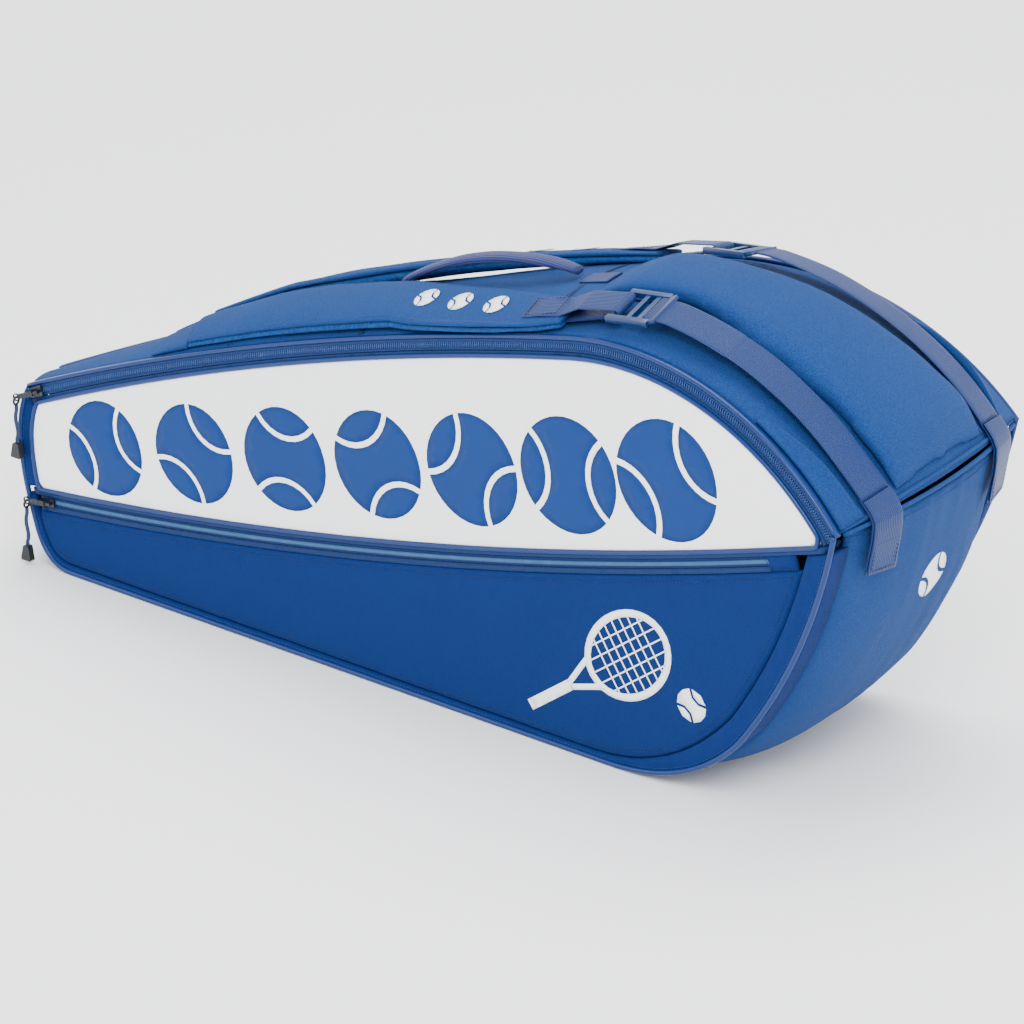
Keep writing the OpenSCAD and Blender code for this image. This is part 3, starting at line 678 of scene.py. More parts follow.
def faceLoops(node, plane, level=None, tolerance=0.06 * mm):  # outline of a part's face at one level
    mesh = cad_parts[node].data
    flat = plane[0](np.array([v.co for v in mesh.vertices], float))
    if level is None:
        level = flat[:, 2].max()
    edges = {}
    spots = {}
    for polygon in mesh.polygons:
        corners = list(polygon.vertices)
        if np.abs(flat[corners, 2] - level).max() > tolerance:
            continue
        keys = []
        for corner in corners:
            key = (round(flat[corner, 0] * 2e4), round(flat[corner, 1] * 2e4))
            spots[key] = flat[corner, :2]
            keys.append(key)
        for a, b in zip(keys, keys[1:] + keys[:1]):
            if a == b:
                continue
            if (b, a) in edges:
                del edges[(b, a)]
            else:
                edges[(a, b)] = True
    following = {}
    for a, b in edges:
        following.setdefault(a, []).append(b)
    loops = []
    while following:
        start = next(iter(following))
        loop = [start]
        spot = start
        while True:
            nexts = following.get(spot)
            if not nexts:
                break
            spot = nexts.pop()
            if not following[loop[-1]]:
                del following[loop[-1]]
            if spot == start:
                break
            loop.append(spot)
        points = np.array([spots[k] for k in loop])
        if len(points) > 2 and abs(loopArea(points)) > 20 * mm * mm:
            loops.append(points)
    return loops


def loopArea(points):
    following = np.roll(points, -1, axis=0)
    return 0.5 * float(np.sum(points[:, 0] * following[:, 1] - following[:, 0] * points[:, 1]))


def evenLoop(points, step):  # corners kept, long runs divided
    before = points - np.roll(points, 1, axis=0)
    after = np.roll(points, -1, axis=0) - points
    cross = before[:, 0] * after[:, 1] - before[:, 1] * after[:, 0]
    turn = np.abs(np.arctan2(cross, (before * after).sum(1)))
    corners = [i for i in range(len(points)) if turn[i] > 0.4]
    if not corners:
        corners = [0]
    even = []
    for index, first in enumerate(corners):
        last = corners[(index + 1) % len(corners)]
        run = [points[first]]
        i = first
        while True:
            i = (i + 1) % len(points)
            run.append(points[i])
            if i == last:
                break
        run = Trail(np.array(run))
        count = max(1, round(run.length / step))
        even += [run.at(run.length * k / count) for k in range(count)]
    return np.array(even)


def depthInside(loops, points):  # distance to the outline, and whether inside it
    depth = np.full(len(points), 1e9)
    inside = np.zeros(len(points), bool)
    for loop in loops:
        starts = loop
        ends = np.roll(loop, -1, axis=0)
        spans = ends - starts
        lengths = (spans ** 2).sum(1) + 1e-18
        for block in range(0, len(points), 1500):
            part = points[block:block + 1500]
            toPart = part[:, None, :] - starts[None]
            share = np.clip((toPart * spans[None]).sum(2) / lengths, 0, 1)
            gap = np.linalg.norm(toPart - share[..., None] * spans[None], axis=2).min(1)
            depth[block:block + 1500] = np.minimum(depth[block:block + 1500], gap)
            over = (starts[None, :, 1] > part[:, None, 1]) != (ends[None, :, 1] > part[:, None, 1])
            rise = np.where(np.abs(spans[:, 1]) < 1e-12, 1e-12, spans[:, 1])
            climb = part[:, None, 1] - starts[None, :, 1]
            cross = starts[None, :, 0] + climb * spans[None, :, 0] / rise[None]
            inside[block:block + 1500] ^= ((over & (part[:, None, 0] < cross)).sum(1) % 2).astype(bool)
    return depth, inside


def sewnPanel(loops, plane, step, front, back, hems):  # a closed sheet between two surfaces
    even = [evenLoop(loop, step) for loop in loops]
    points = [p for loop in even for p in loop]
    edges = []
    count = 0
    for loop in even:
        edges += [(count + i, count + (i + 1) % len(loop)) for i in range(len(loop))]
        count += len(loop)
    extra = []
    for hem in hems:
        for loop in even:
            ahead = np.roll(loop, -1, axis=0) - np.roll(loop, 1, axis=0)
            ahead /= np.linalg.norm(ahead, axis=1)[:, None] + 1e-12
            for sign in (-1, 1):
                moved = loop + sign * hem * np.stack([-ahead[:, 1], ahead[:, 0]], 1)
                depth, inside = depthInside(even, moved)
                extra.append(moved[inside & (depth > 0.9 * hem)])
    low = np.min([loop.min(0) for loop in even], axis=0)
    high = np.max([loop.max(0) for loop in even], axis=0)
    rows = np.arange(low[1], high[1], step * 0.87)
    grid = np.array([(x + (step / 2 if r % 2 else 0), y) for r, y in enumerate(rows)
                     for x in np.arange(low[0], high[0], step)])
    depth, inside = depthInside(even, grid)
    extra.append(grid[inside & (depth > max(hems, default=0) + 0.5 * step)])
    points += [p for part in extra for p in part]
    spots = [Vector((p[0], p[1])) for p in points]
    flat, _, triangles, _, _, _ = delaunay_2d_cdt(spots, edges, [], 0, 1e-6, False)
    flat = np.array([(p.x, p.y) for p in flat])
    triangles = np.array([t for t in triangles if len(t) == 3])
    _, kept = depthInside(even, flat[triangles].mean(1))
    triangles = triangles[kept]
    depth, _ = depthInside(even, flat)
    frontLevel = front(flat, depth)
    backLevel = back(flat, depth)
    total = len(flat)
    place = plane[1]
    verts = [place(p[0], p[1], n) for p, n in zip(flat, frontLevel)]
    verts += [place(p[0], p[1], n) for p, n in zip(flat, backLevel)]
    faces = [tuple(int(i) for i in t) for t in triangles]
    faces += [tuple(int(i) + total for i in t[::-1]) for t in triangles]
    seen = {}
    for t in triangles:
        for a, b in ((t[0], t[1]), (t[1], t[2]), (t[2], t[0])):
            key = (min(a, b), max(a, b))
            seen[key] = None if key in seen else (int(a), int(b))
    faces += [(b, a, a + total, b + total) for a, b in [e for e in seen.values() if e]]
    used = sorted({i for face in faces for i in face})
    number = {old: new for new, old in enumerate(used)}
    uv = np.vstack([flat, flat])[used]
    return [verts[i] for i in used], [tuple(number[i] for i in face) for face in faces], uv


def joinParts(name, parts, finish):  # several sewn panels as one piece
    verts, faces, uv = [], [], []
    for partVerts, partFaces, partUv in parts:
        base = len(verts)
        verts += partVerts
        faces += [tuple(i + base for i in face) for face in partFaces]
        uv += [tuple(p) for p in partUv]
    piece = linkMesh(name, verts, faces, finish, uv)
    turnOutwards(piece)
    return piece


def sewPiece(name, loops, plane, step, front, back, finish, hems=(0.9 * mm, 2.2 * mm)):
    return joinParts(name, [sewnPanel(loops, plane, step, front, back, hems)], finish)


def rolled(depth, radius):  # a turned edge: low at the outline, level inside
    reach = np.clip(radius - depth, 0, radius)
    return -radius + np.sqrt(np.maximum(radius * radius - reach * reach, 0))


def noiseAt(points, scale, seed, stretch=(1, 1)):
    return np.array([waveAt(p[0] * scale * stretch[0], p[1] * scale * stretch[1], seed * 3.7)
                     for p in points])


def level(value):
    return lambda points, depth: np.full(len(points), value)


# bands that follow a zipper or a rim
def inwardOf(line):  # towards the hollow side of a line that turns clockwise
    ahead = np.gradient(line, axis=0)
    ahead /= np.linalg.norm(ahead, axis=1)[:, None]
    return np.stack([ahead[:, 1], -ahead[:, 0]], 1)


def shiftLine(line, distance):
    return line + distance * inwardOf(line)


def evenLine(line, step):
    trail = Trail(line)
    count = max(2, int(trail.length / step))
    return np.array([trail.at(trail.length * k / count) for k in range(count + 1)])


def bandOnPanel(name, sideName, line, section, finish, step=6 * mm):
    side = sides[sideName]
    line = evenLine(line, step)
    rings = [[onPanel(side, *(p + q * a), n) for a, n in section] for p, q in zip(line, inwardOf(line))]
    return tubeOfRings(name, rings, finish)


def roundSection(across, radius, out, count=12):
    return [(across + radius * math.cos(a), out + radius * math.sin(a))
            for a in np.linspace(0, 2 * math.pi, count, endpoint=False)]


# repeated small things: stitches and zipper teeth
def buildRowTree():
    tree = bpy.data.node_groups.new("bagRow", "GeometryNodeTree")
    for label, kind in (("Geometry", "NodeSocketGeometry"), ("Piece", "NodeSocketObject"),
                        ("Finish", "NodeSocketMaterial"), ("Size", "NodeSocketFloat"),
                        ("Unevenness", "NodeSocketFloat"), ("Seed", "NodeSocketInt")):
        tree.interface.new_socket(label, in_out="INPUT", socket_type=kind)
    tree.interface.new_socket("Geometry", in_out="OUTPUT", socket_type="NodeSocketGeometry")
    given = tree.nodes.new("NodeGroupInput")
    out = tree.nodes.new("NodeGroupOutput")
    turn = newNode(tree, "GeometryNodeInputNamedAttribute", data_type="FLOAT_VECTOR")
    turn.inputs["Name"].default_value = "turn"
    toRotation = tree.nodes.new("FunctionNodeEulerToRotation")
    tree.links.new([s for s in turn.outputs if s.enabled][0], toRotation.inputs[0])
    source = tree.nodes.new("GeometryNodeObjectInfo")
    tree.links.new(given.outputs["Piece"], source.inputs["Object"])
    vary = newNode(tree, "FunctionNodeRandomValue", data_type="FLOAT")
    floats = [s for s in vary.inputs if s.type == "VALUE" and s.enabled]
    for operation, end in (("SUBTRACT", floats[0]), ("ADD", floats[1])):
        size = mathNode(tree, operation, given.outputs["Size"], given.outputs["Unevenness"])
        tree.links.new(size, end)
    tree.links.new(given.outputs["Seed"], vary.inputs["Seed"])
    scatter = tree.nodes.new("GeometryNodeInstanceOnPoints")
    tree.links.new(given.outputs["Geometry"], scatter.inputs["Points"])
    tree.links.new(source.outputs["Geometry"], scatter.inputs["Instance"])
    tree.links.new(toRotation.outputs[0], scatter.inputs["Rotation"])
    tree.links.new([s for s in vary.outputs if s.enabled][0], scatter.inputs["Scale"])
    realize = tree.nodes.new("GeometryNodeRealizeInstances")
    tree.links.new(scatter.outputs[0], realize.inputs[0])
    paint = tree.nodes.new("GeometryNodeSetMaterial")
    tree.links.new(realize.outputs[0], paint.inputs["Geometry"])
    tree.links.new(given.outputs["Finish"], paint.inputs["Material"])
    tree.links.new(paint.outputs[0], out.inputs[0])
    return tree


rowTree = buildRowTree()
rowSockets = {item.name: item.identifier for item in rowTree.interface.items_tree if item.in_out == "INPUT"}


def capsule(name, long, wide, tall, rings=4, around=6):  # a thread's visible loop, or one coil of a zipper
    points = []
    for i in range(rings + 1):
        k = -1 + 2 * i / rings
        girth = math.sqrt(max(0.0, 1 - abs(k) ** 3)) * 0.9 + 0.1
        for j in range(around):
            angle = 2 * math.pi * j / around
            points.append((k * long / 2, girth * wide / 2 * math.cos(angle),
                           girth * tall / 2 * math.sin(angle)))
    faces = []
    for i in range(rings):
        for j in range(around):
            a, b = i * around + j, i * around + (j + 1) % around
            faces.append((a, b, b + around, a + around))
    faces += [tuple(range(around)), tuple(rings * around + j for j in range(around))]
    piece = linkMesh(name, points, faces, threadBlue)
    turnOutwards(piece)
    return piece


stitchShape = capsule("stitchShape", 2.5 * mm, 0.75 * mm, 0.6 * mm)
toothShape = capsule("toothShape", 3.0 * mm, 1.05 * mm, 1.3 * mm)
smallToothShape = capsule("smallToothShape", 2.2 * mm, 0.85 * mm, 1.1 * mm)


def alongRun(points, ups, pitch, offset=0.0):  # even places along a run, each with its heading and up
    points = [Vector(p) for p in points]
    marks = [0.0]
    for a, b in zip(points, points[1:]):
        marks.append(marks[-1] + (b - a).length)
    places = []
    count = int((marks[-1] - offset) / pitch)
    index = 0
    for i in range(count + 1):
        mark = offset + i * pitch
        while index < len(marks) - 2 and marks[index + 1] < mark:
            index += 1
        span = marks[index + 1] - marks[index]
        k = 0 if span < 1e-9 else min(1, (mark - marks[index]) / span)
        heading = (points[index + 1] - points[index]).normalized()
        up = (Vector(ups[index]) * (1 - k) + Vector(ups[index + 1]) * k).normalized()
        places.append((points[index].lerp(points[index + 1], k), heading, up))
    return places


def setRow(name, places, shape, finish, body, size=1.0, uneven=0.05, seed=1, across=False):
    mesh = bpy.data.meshes.new(name + "Places")
    mesh.from_pydata([tuple(p) for p, _, _ in places], [], [])
    turns = []
    for _, heading, up in places:
        sideways = up.cross(heading).normalized()
        up = heading.cross(sideways).normalized()
        if across:
            heading, sideways = sideways, -heading
        turns.append(tuple(Matrix((heading, sideways, up)).transposed().to_euler()))
    attribute = mesh.attributes.new("turn", "FLOAT_VECTOR", "POINT")
    attribute.data.foreach_set("vector", np.array(turns, np.float32).ravel())
    holder = bpy.data.objects.new(name + "Places", mesh)
    scene.collection.objects.link(holder)
    modifier = holder.modifiers.new("row", "NODES")
    modifier.node_group = rowTree
    values = {"Piece": shape, "Finish": finish, "Size": size, "Unevenness": uneven, "Seed": seed}
    for label, value in values.items():
        modifier[rowSockets[label]] = value
    made = bakedMesh(holder)
    made.name = name
    piece = bpy.data.objects.new(name, made)
    scene.collection.objects.link(piece)
    if not made.materials:
        made.materials.append(finish)
    shadeSmooth(made)
    bpy.data.objects.remove(holder)
    return settle(piece, body, ())


def topRun(distances, acrosses, lift):  # a run on the top's surface, with its ups
    points = [topPoint(s, y, lift) for s, y in zip(distances, acrosses)]
    ups = [(topPoint(s, y, lift + 5 * mm) - p).normalized() for s, y, p in zip(distances, acrosses, points)]
    return points, ups


def panelRun(sideName, line, out):
    side = sides[sideName]
    points = [onPanel(side, p[0], p[1], out) for p in line]
    return points, [panelOut(side)] * len(points)


print("tools ready")

# walls of the bag
wallSizes = {"thick": 4 * mm, "wrinkle": 1.3 * mm}


def slabOfGrids(name, outer, inner, finish):  # closed wall between two grids of points
    rows, columns = len(outer), len(outer[0])
    points = [p for row in outer for p in row] + [p for row in inner for p in row]
    base = rows * columns
    faces = []
    for i in range(rows - 1):
        for j in range(columns - 1):
            a = i * columns + j
            b, c, d = a + 1, a + columns + 1, a + columns
            faces += [(a, b, c, d), (a + base, d + base, c + base, b + base)]
    rims = [(i * columns + j, (i + 1) * columns + j) for i in range(rows - 1) for j in (0, columns - 1)]
    rims += [(i * columns + j, i * columns + j + 1) for j in range(columns - 1) for i in (0, rows - 1)]
    faces += [(a, b, b + base, a + base) for a, b in rims]
    uv = [(p.x, p.y + p.z) for p in points]
    piece = linkMesh(name, points, faces, finish, uv)
    turnOutwards(piece)
    return piece


def wallAlong(name, trail, start, stop, rise, edge, rows, columns, wrinkle, finish):
    outer, inner = [], []
    for s in np.linspace(start, stop, rows):
        half = halfAt(trail.at(s)[0], edge)
        acrosses = np.linspace(-half, half, columns)
        outer.append([skinPoint(trail, s, y, wrinkle(s, y, half), rise(s), edge) for y in acrosses])
        inner.append([skinPoint(trail, s, y, -wallSizes["thick"], rise(s), edge) for y in acrosses])
    return slabOfGrids(name, outer, inner, finish)


def edgeRoll(y, half, reach=5 * mm):  # the wall turns down where it is sewn to a side
    near = max(0.0, 1 - (half - abs(y)) / reach)
    return -2.2 * mm * near * near


def topWrinkle(s, y, half):
    soft = 0.9 * mm * waveAt(s * 14, y * 26, 1.7)
    pulls = 0.7 * mm * waveAt(s * 60, y * 9, 4.1) * (abs(y) / half) ** 2
    return soft + pulls + edgeRoll(y, half)


def headWrinkle(s, y, half):
    below = s - seamAt
    fade = max(0.0, 1 - below / 0.2)
    pulls = wallSizes["wrinkle"] * waveAt(below * 9, y * 75, 2.2) * (0.35 + 0.9 * fade)
    sag = 1.5 * mm * waveAt(below * 16, y * 14, 8.5)
    return pulls + sag + edgeRoll(y, half)


def tipWrinkle(s, y, half):
    return 0.6 * mm * waveAt(s * 50, y * 60, 3.3) + edgeRoll(y, half, 3 * mm)


def tipRise(s):
    return 2 * mm * min(1, s / 0.06)


topWall = wallAlong("topWall", overTrail, 1 * mm, seamAt - 1 * mm, crownAt, topEdge,
                    190, 45, topWrinkle, melange)
settle(topWall, "bag", ["top_gusset"])
headWall = wallAlong("headWall", overTrail, seamAt + 1.5 * mm, overTrail.length - 0.5 * mm, crownAt, lowEdge,
                     80, 61, headWrinkle, melange)
keepAboveFloor(headWall)
settle(headWall, "bag", ["head_gusset"])
tipWall = wallAlong("tipWall", underTrail, 1 * mm, underTrail.length - 1 * mm, tipRise, topEdge + 7 * mm,
                    50, 17, tipWrinkle, melange)
keepAboveFloor(tipWall)
settle(tipWall, "bag", ["tip_gusset"])


def buildFloorWall():
    outer, inner = [], []
    for along in np.linspace(heel[0] + 27 * mm, toe[0] - 76 * mm, 90):
        half = halfAt(along, lowEdge)
        acrosses = np.linspace(-half, half, 21)
        inner.append([Vector((along * math.cos(wedge), y, 0.0004)) for y in acrosses])
        outer.append([Vector((along * math.cos(wedge), y, 3.6 * mm + 0.4 * mm * waveAt(along * 30, y * 30, 0)))
                      for y in acrosses])
    piece = slabOfGrids("floorWall", outer, inner, melange)
    settle(piece, "bag", ["bottom_gusset"])


buildFloorWall()


def buildDivider():
    loops = faceLoops("divider", centrePlane())
    piece = sewPiece("divider_sheet", loops, centrePlane(), 8 * mm,
                     lambda p, d: 0.4 * mm + rolled(d, 1.6 * mm) + 1.2 * mm + 0.3 * mm * noiseAt(p, 30, 2),
                     lambda p, d: -0.4 * mm - rolled(d, 1.6 * mm) - 1.2 * mm + 0.3 * mm * noiseAt(p, 30, 5),
                     liningCloth)
    settle(piece, "bag", ["divider"])


buildDivider()
print("walls sewn")

# side panels
panelSizes = {"flapPuff": 3.4 * mm, "flapRoll": 2.6 * mm, "pocketPuff": 3.4 * mm, "pocketRoll": 3.2 * mm,
              "stepAt": -0.392 * bagSizes["length"], "step": 6 * mm}


def behind(deep, shallow):  # the panels are shallow towards the tip
    return lambda p, d: np.where(p[:, 0] > panelSizes["stepAt"], deep, shallow)


def easeIn(depth, reach):
    return np.clip(depth / reach, 0, 1)


def flapSurface(points, depth):
    puff = panelSizes["flapPuff"] * (1 - np.exp(-np.maximum(depth - 1 * mm, 0) / (42 * mm)))
    waves = 0.6 * mm * noiseAt(points, 11, 3) * easeIn(depth, 30 * mm)
    pulls = 0.5 * mm * noiseAt(points, 60, 6, (1, 0.35)) * np.exp(-depth / (14 * mm)) * easeIn(depth, 2 * mm)
    return rolled(depth, panelSizes["flapRoll"]) + puff + waves + pulls


def pocketSurface(points, depth):
    puff = panelSizes["pocketPuff"] * (1 - np.exp(-np.maximum(depth - 2 * mm, 0) / (50 * mm)))
    waves = 0.8 * mm * noiseAt(points, 9, 7) * easeIn(depth, 35 * mm)
    gathers = 1.0 * mm * noiseAt(points, 105, 9) * np.exp(-depth / (8 * mm)) * easeIn(depth, 1.5 * mm)
    return rolled(depth, panelSizes["pocketRoll"]) + puff * 0.9 + waves + gathers - 0.4 * mm


def borderSurface(points, depth):
    gathers = 0.8 * mm * noiseAt(points, 120, 12) + 0.5 * mm * noiseAt(points, 260, 13)
    return -0.6 * mm + rolled(depth, 2.5 * mm) + gathers * easeIn(depth, 3 * mm)


def waistSurface(points, depth):
    return rolled(depth, 1.6 * mm) + 0.2 * mm


def closedLine(loop):
    return np.vstack([loop, loop[:1]])


def insideOf(loop):  # makes a loop run clockwise, so that shiftLine moves it inwards
    return loop if loopArea(loop) < 0 else loop[::-1]


def buildSidePanel(sideName):
    plane = sidePlane(sideName)
    step = panelSizes["step"]
    prefix = sideName + "_"
    flapNode = prefix + ("flap_face" if sideName == "front" else "flap")
    flapLoops = faceLoops(flapNode, plane)
    face = sewPiece(prefix + "flap_cloth", flapLoops, plane, step, flapSurface, level(-5.9 * mm), whiteCoat)
    lining = sewPiece(prefix + "flap_inside", flapLoops, plane, 9 * mm, level(-6.0 * mm),
                      lambda p, d: -7.1 * mm + 0.5 * mm * noiseAt(p, 25, 4), liningCloth)
    nodes = {"front": (["front_flap_face", "front_flap_foam"], ["front_flap_lining"]),
             "rear": (["rear_flap"], ["rear_flap"])}[sideName]
    settle(face, prefix + "flap", nodes[0])
    settle(lining, prefix + "flap", nodes[1])
    rim = evenLoop(insideOf(flapLoops[0]), 5 * mm)
    piping = bandOnPanel(prefix + "flap_piping", sideName, closedLine(rim),
                         roundSection(-0.6 * mm, 1.9 * mm, -0.5 * mm), pipingCoat, 4 * mm)
    settle(piping, prefix + "flap", [])
    tape = sewPiece(prefix + "flap_tape_cloth", faceLoops(prefix + "flap_tape", plane), plane, 5 * mm,
                    level(-1.0 * mm), level(-2.8 * mm), tapeCloth, ())
    settle(tape, prefix + "flap", [prefix + "flap_tape"])

    pocketLoops = faceLoops(prefix + "pocket_panel", plane)
    pocket = sewPiece(prefix + "pocket_cloth", pocketLoops, plane, step, pocketSurface,
                      level(-2.9 * mm), pocketCloth)
    settle(pocket, prefix + "pocket", [prefix + "pocket_panel"])
    pocketTape = sewPiece(prefix + "pocket_tape_cloth", faceLoops(prefix + "pocket_tape", plane), plane,
                          5 * mm, level(-0.9 * mm), level(-2.5 * mm), tapeCloth, ())
    settle(pocketTape, prefix + "pocket", [prefix + "pocket_tape"])

    borderLoops = faceLoops(prefix + "border", plane)
    border = sewPiece(prefix + "border_cloth", borderLoops, plane, 4 * mm, borderSurface,
                      behind(-18.9 * mm, -6.9 * mm), pocketCloth)
    keepAboveFloor(border)
    settle(border, "bag", [prefix + "border"])
    waistLoops = faceLoops(prefix + "waist", plane)
    waist = sewPiece(prefix + "waist_cloth", waistLoops, plane, 4 * mm, waistSurface,
                     behind(-22.6 * mm, -10.8 * mm), tapeCloth, (0.8 * mm,))
    settle(waist, "bag", [prefix + "waist"])
    inner = []
    for top, thick in ((-19.3 * mm, 3.7 * mm), (-7.3 * mm, 3.6 * mm)):
        for loop in faceLoops(prefix + "lower_panel", plane, top):
            inner.append(sewnPanel([loop], plane, 9 * mm,
                                   lambda p, d, t=top: t - 0.2 * mm + 0.2 * mm * noiseAt(p, 30, 1),
                                   level(top - thick), (0.9 * mm, 2.2 * mm)))
    lower = joinParts(prefix + "lower_cloth", inner, liningCloth)
    keepAboveFloor(lower)
    settle(lower, "bag", [prefix + "lower_panel"])
    print(sideName, "panels sewn: outlines", len(flapLoops), len(pocketLoops), len(borderLoops),
          len(waistLoops), len(inner))
    return {"flap": flapLoops, "pocket": pocketLoops, "border": borderLoops}


outlines = {sideName: buildSidePanel(sideName) for sideName in sides}

# zippers and pipings
zipperSizes = {"mainPitch": 2.0 * mm, "pocketPitch": 1.6 * mm, "tail": 25 * mm}
# inwards and outwards, in millimetres
bandSections = {
    "binding": [(-1.2, -5.8), (-1.3, -1.6), (-0.7, -0.5), (0.3, -0.1), (1.2, -0.5), (1.6, -1.6), (1.5, -5.8)],
    "mainTape": [(1.7, -2.9), (1.7, -1.4), (3.6, -1.2), (5.4, -2.0), (6.6, -2.0), (8.4, -1.2), (10.3, -1.4),
                 (10.3, -2.9)],
    "pocketTape": [(-3.5, -2.7), (-3.5, -1.5), (0, -2.0), (3.5, -1.5), (3.5, -2.7)],
    "garage": [(-7.4, -3.4), (-7.4, -1.5), (0, -0.9), (7.6, -1.5), (7.6, -3.4)],
}


def zipperBand(sideName, name, line, section, finish, nodes):
    corners = [(across * mm, out * mm) for across, out in bandSections[section]]
    band = bandOnPanel(sideName + name, sideName, line, corners, finish)
    settle(band, "bag", [sideName + node for node in nodes])


def buildZippers(sideName):
    prefix = sideName + "_"
    zipperBand(sideName, "_binding_cloth", zipLine(), "binding", pipingCoat, ["_binding"])
    zipperBand(sideName, "_main_tape", zipLine(), "mainTape", tapeCloth, ["_main_chain"])
    zipperBand(sideName, "_pocket_zip_tape", pocketLine(), "pocketTape", tapeCloth, ["_pocket_chain"])
    last = pocketLine()[-1]
    ahead = (last - pocketLine()[-2]) / np.linalg.norm(last - pocketLine()[-2])
    tail = np.array([last - ahead * 3 * mm, last + ahead * zipperSizes["tail"]])
    zipperBand(sideName, "_zip_garage", tail, "garage", pocketCloth, [])
    coil = []
    for offset, depth in ((4 * mm, chainDepth - 0.85 * mm), (5 * mm, chainDepth + 0.85 * mm)):
        line = shiftLine(evenLine(zipLine(), 3 * mm), depth)
        coil += alongRun(*panelRun(sideName, line, -1.25 * mm), zipperSizes["mainPitch"], offset)
    setRow(prefix + "main_coil", coil, toothShape, coilNylon, "bag", 1.0, 0.03, 3, True)
    coil = []
    for offset, depth in ((3 * mm, -0.65 * mm), (3.8 * mm, 0.65 * mm)):
        line = shiftLine(evenLine(pocketLine(), 3 * mm), depth)
        coil += alongRun(*panelRun(sideName, line, -1.2 * mm), zipperSizes["pocketPitch"], offset)
    setRow(prefix + "pocket_coil", coil, smallToothShape, lightCoil, "bag", 1.0, 0.03, 4, True)
    piping = bandOnPanel(prefix + "rim_piping", sideName, shiftLine(evenLine(rimLine, 4 * mm), 2.1 * mm),
                         roundSection(0, 2.1 * mm, -0.9 * mm), pipingCoat, 4 * mm)
    keepAboveFloor(piping)
    settle(piping, "bag", [prefix + "piping"])


for sideName in sides:
    buildZippers(sideName)
print("zippers closed")

# handle
handleSizes = {"start": 352 * mm, "stop": 512 * mm, "rise": 14 * mm, "thick": 7 * mm, "half": 8.6 * mm,
               "lift": 9 * mm}


def handleArch(k):
    return handleSizes["rise"] * math.sin(math.pi * min(1, max(0, k))) ** 0.7 - handleSizes["thick"]


def handleSection(k):
    share = 0.02 + 0.96 * k
    floor = handleArch(share) + handleSizes["lift"]
    pinch = 1 - 0.25 * math.exp(-min(k, 1 - k) / 0.05)
    half = handleSizes["half"] * (0.86 + 0.14 * math.sin(math.pi * k)) * pinch
    return -half, half, floor + 0.2 * mm, floor + handleSizes["thick"] * (0.8 + 0.2 * math.sin(math.pi * k))


def buildHandle():
    span = handleSizes["stop"] - handleSizes["start"]
    start = handleSizes["start"] + 0.02 * span
    stop = handleSizes["stop"] - 0.02 * span
    handle = onTop("handle_tube", start, stop, 60, handleSection, handleCloth, 32, 2.4)
    crumple(handle, 0.35 * mm, 55, 3)
    settle(handle, "handle", ["handle_cover", "handle_core"])
    places = []
    for edge in (-0.93, 0.93):
        points, ups = [], []
        for k in np.linspace(0.03, 0.97, 60):
            low, high, floor, ceiling = handleSection(k)
            s = start + (stop - start) * k
            points.append(topPoint(s, high * edge, floor + 0.55 * (ceiling - floor)))
            ups.append(Vector((0, edge, 0.4)))
        places += alongRun(points, ups, 3.4 * mm)
    setRow("handle_stitches", places, stitchShape, threadBlue, "handle", 1.0, 0.05, 5)
    tabs = []
    for first in (handleSizes["start"] - 26 * mm, handleSizes["stop"] + 2 * mm):
        tabs.append(onTop("handleTab", first, first + 24 * mm, 8,
                          lambda k: (-10.5 * mm, 10.5 * mm, 0.35 * mm, 1.8 * mm), webCloth, 24, 6))
    settle(joinPieces("handle_tabs", tabs), "bag", ["handle_anchors"])


def joinPieces(name, pieces):
    bpy.ops.object.select_all(action="DESELECT")
    for piece in pieces:
        piece.select_set(True)
    bpy.context.view_layer.objects.active = pieces[0]
    bpy.ops.object.join()
    pieces[0].name = name
    pieces[0].data.name = name
    return pieces[0]


buildHandle()
print("handle sewn")

# padded middle of the top, and its seams
webSizes = {"bar": seamAt - 240 * mm, "barAcross": 66 * mm, "across": 80 * mm, "wide": 30 * mm, "thick": 2 * mm,
            "tab": 46 * mm, "tabEnd": seamAt + 36 * mm}
padSizes = {"start": 542 * mm, "stop": seamAt - 4 * mm, "thick": 10 * mm, "voxel": 4 * mm, "pressure": 4.0,
            "steps": 20, "calm": 16, "cap": 3.5 * mm}


def leanAt(s):
    share = min(1, max(0, (s - webSizes["bar"]) / 0.2))
    return webSizes["barAcross"] + (webSizes["across"] - webSizes["barAcross"]) * share


def padHalf(s):
    share = min(1, max(0, (s - webSizes["bar"] - 36 * mm) / (60 * mm)))
    narrow = webSizes["barAcross"] - 26 * mm
    return narrow + (leanAt(s) - webSizes["wide"] / 2 - 3 * mm - narrow) * share


def padSection(k):
    s = padSizes["start"] + (padSizes["stop"] - padSizes["start"]) * k
    half = padHalf(s) - 0.8 * mm
    headEnd = math.sin(min(1, (1 - k) * 7) * math.pi / 2) + 0.12
    thick = padSizes["thick"] * min(1, k * 8 + 0.1, headEnd) - 0.8 * mm
    return -half, half, -3 * mm, 0.5 * mm + max(0.6 * mm, thick)


def calmed(field, edges, rounds):  # averages a field over its neighbours
    for _ in range(rounds):
        total = field.copy()
        count = np.ones(len(field))
        for a, b in ((0, 1), (1, 0)):
            np.add.at(total, edges[:, a], field[edges[:, b]])
            np.add.at(count, edges[:, a], 1)
        field = total / count[:, None]
    return field


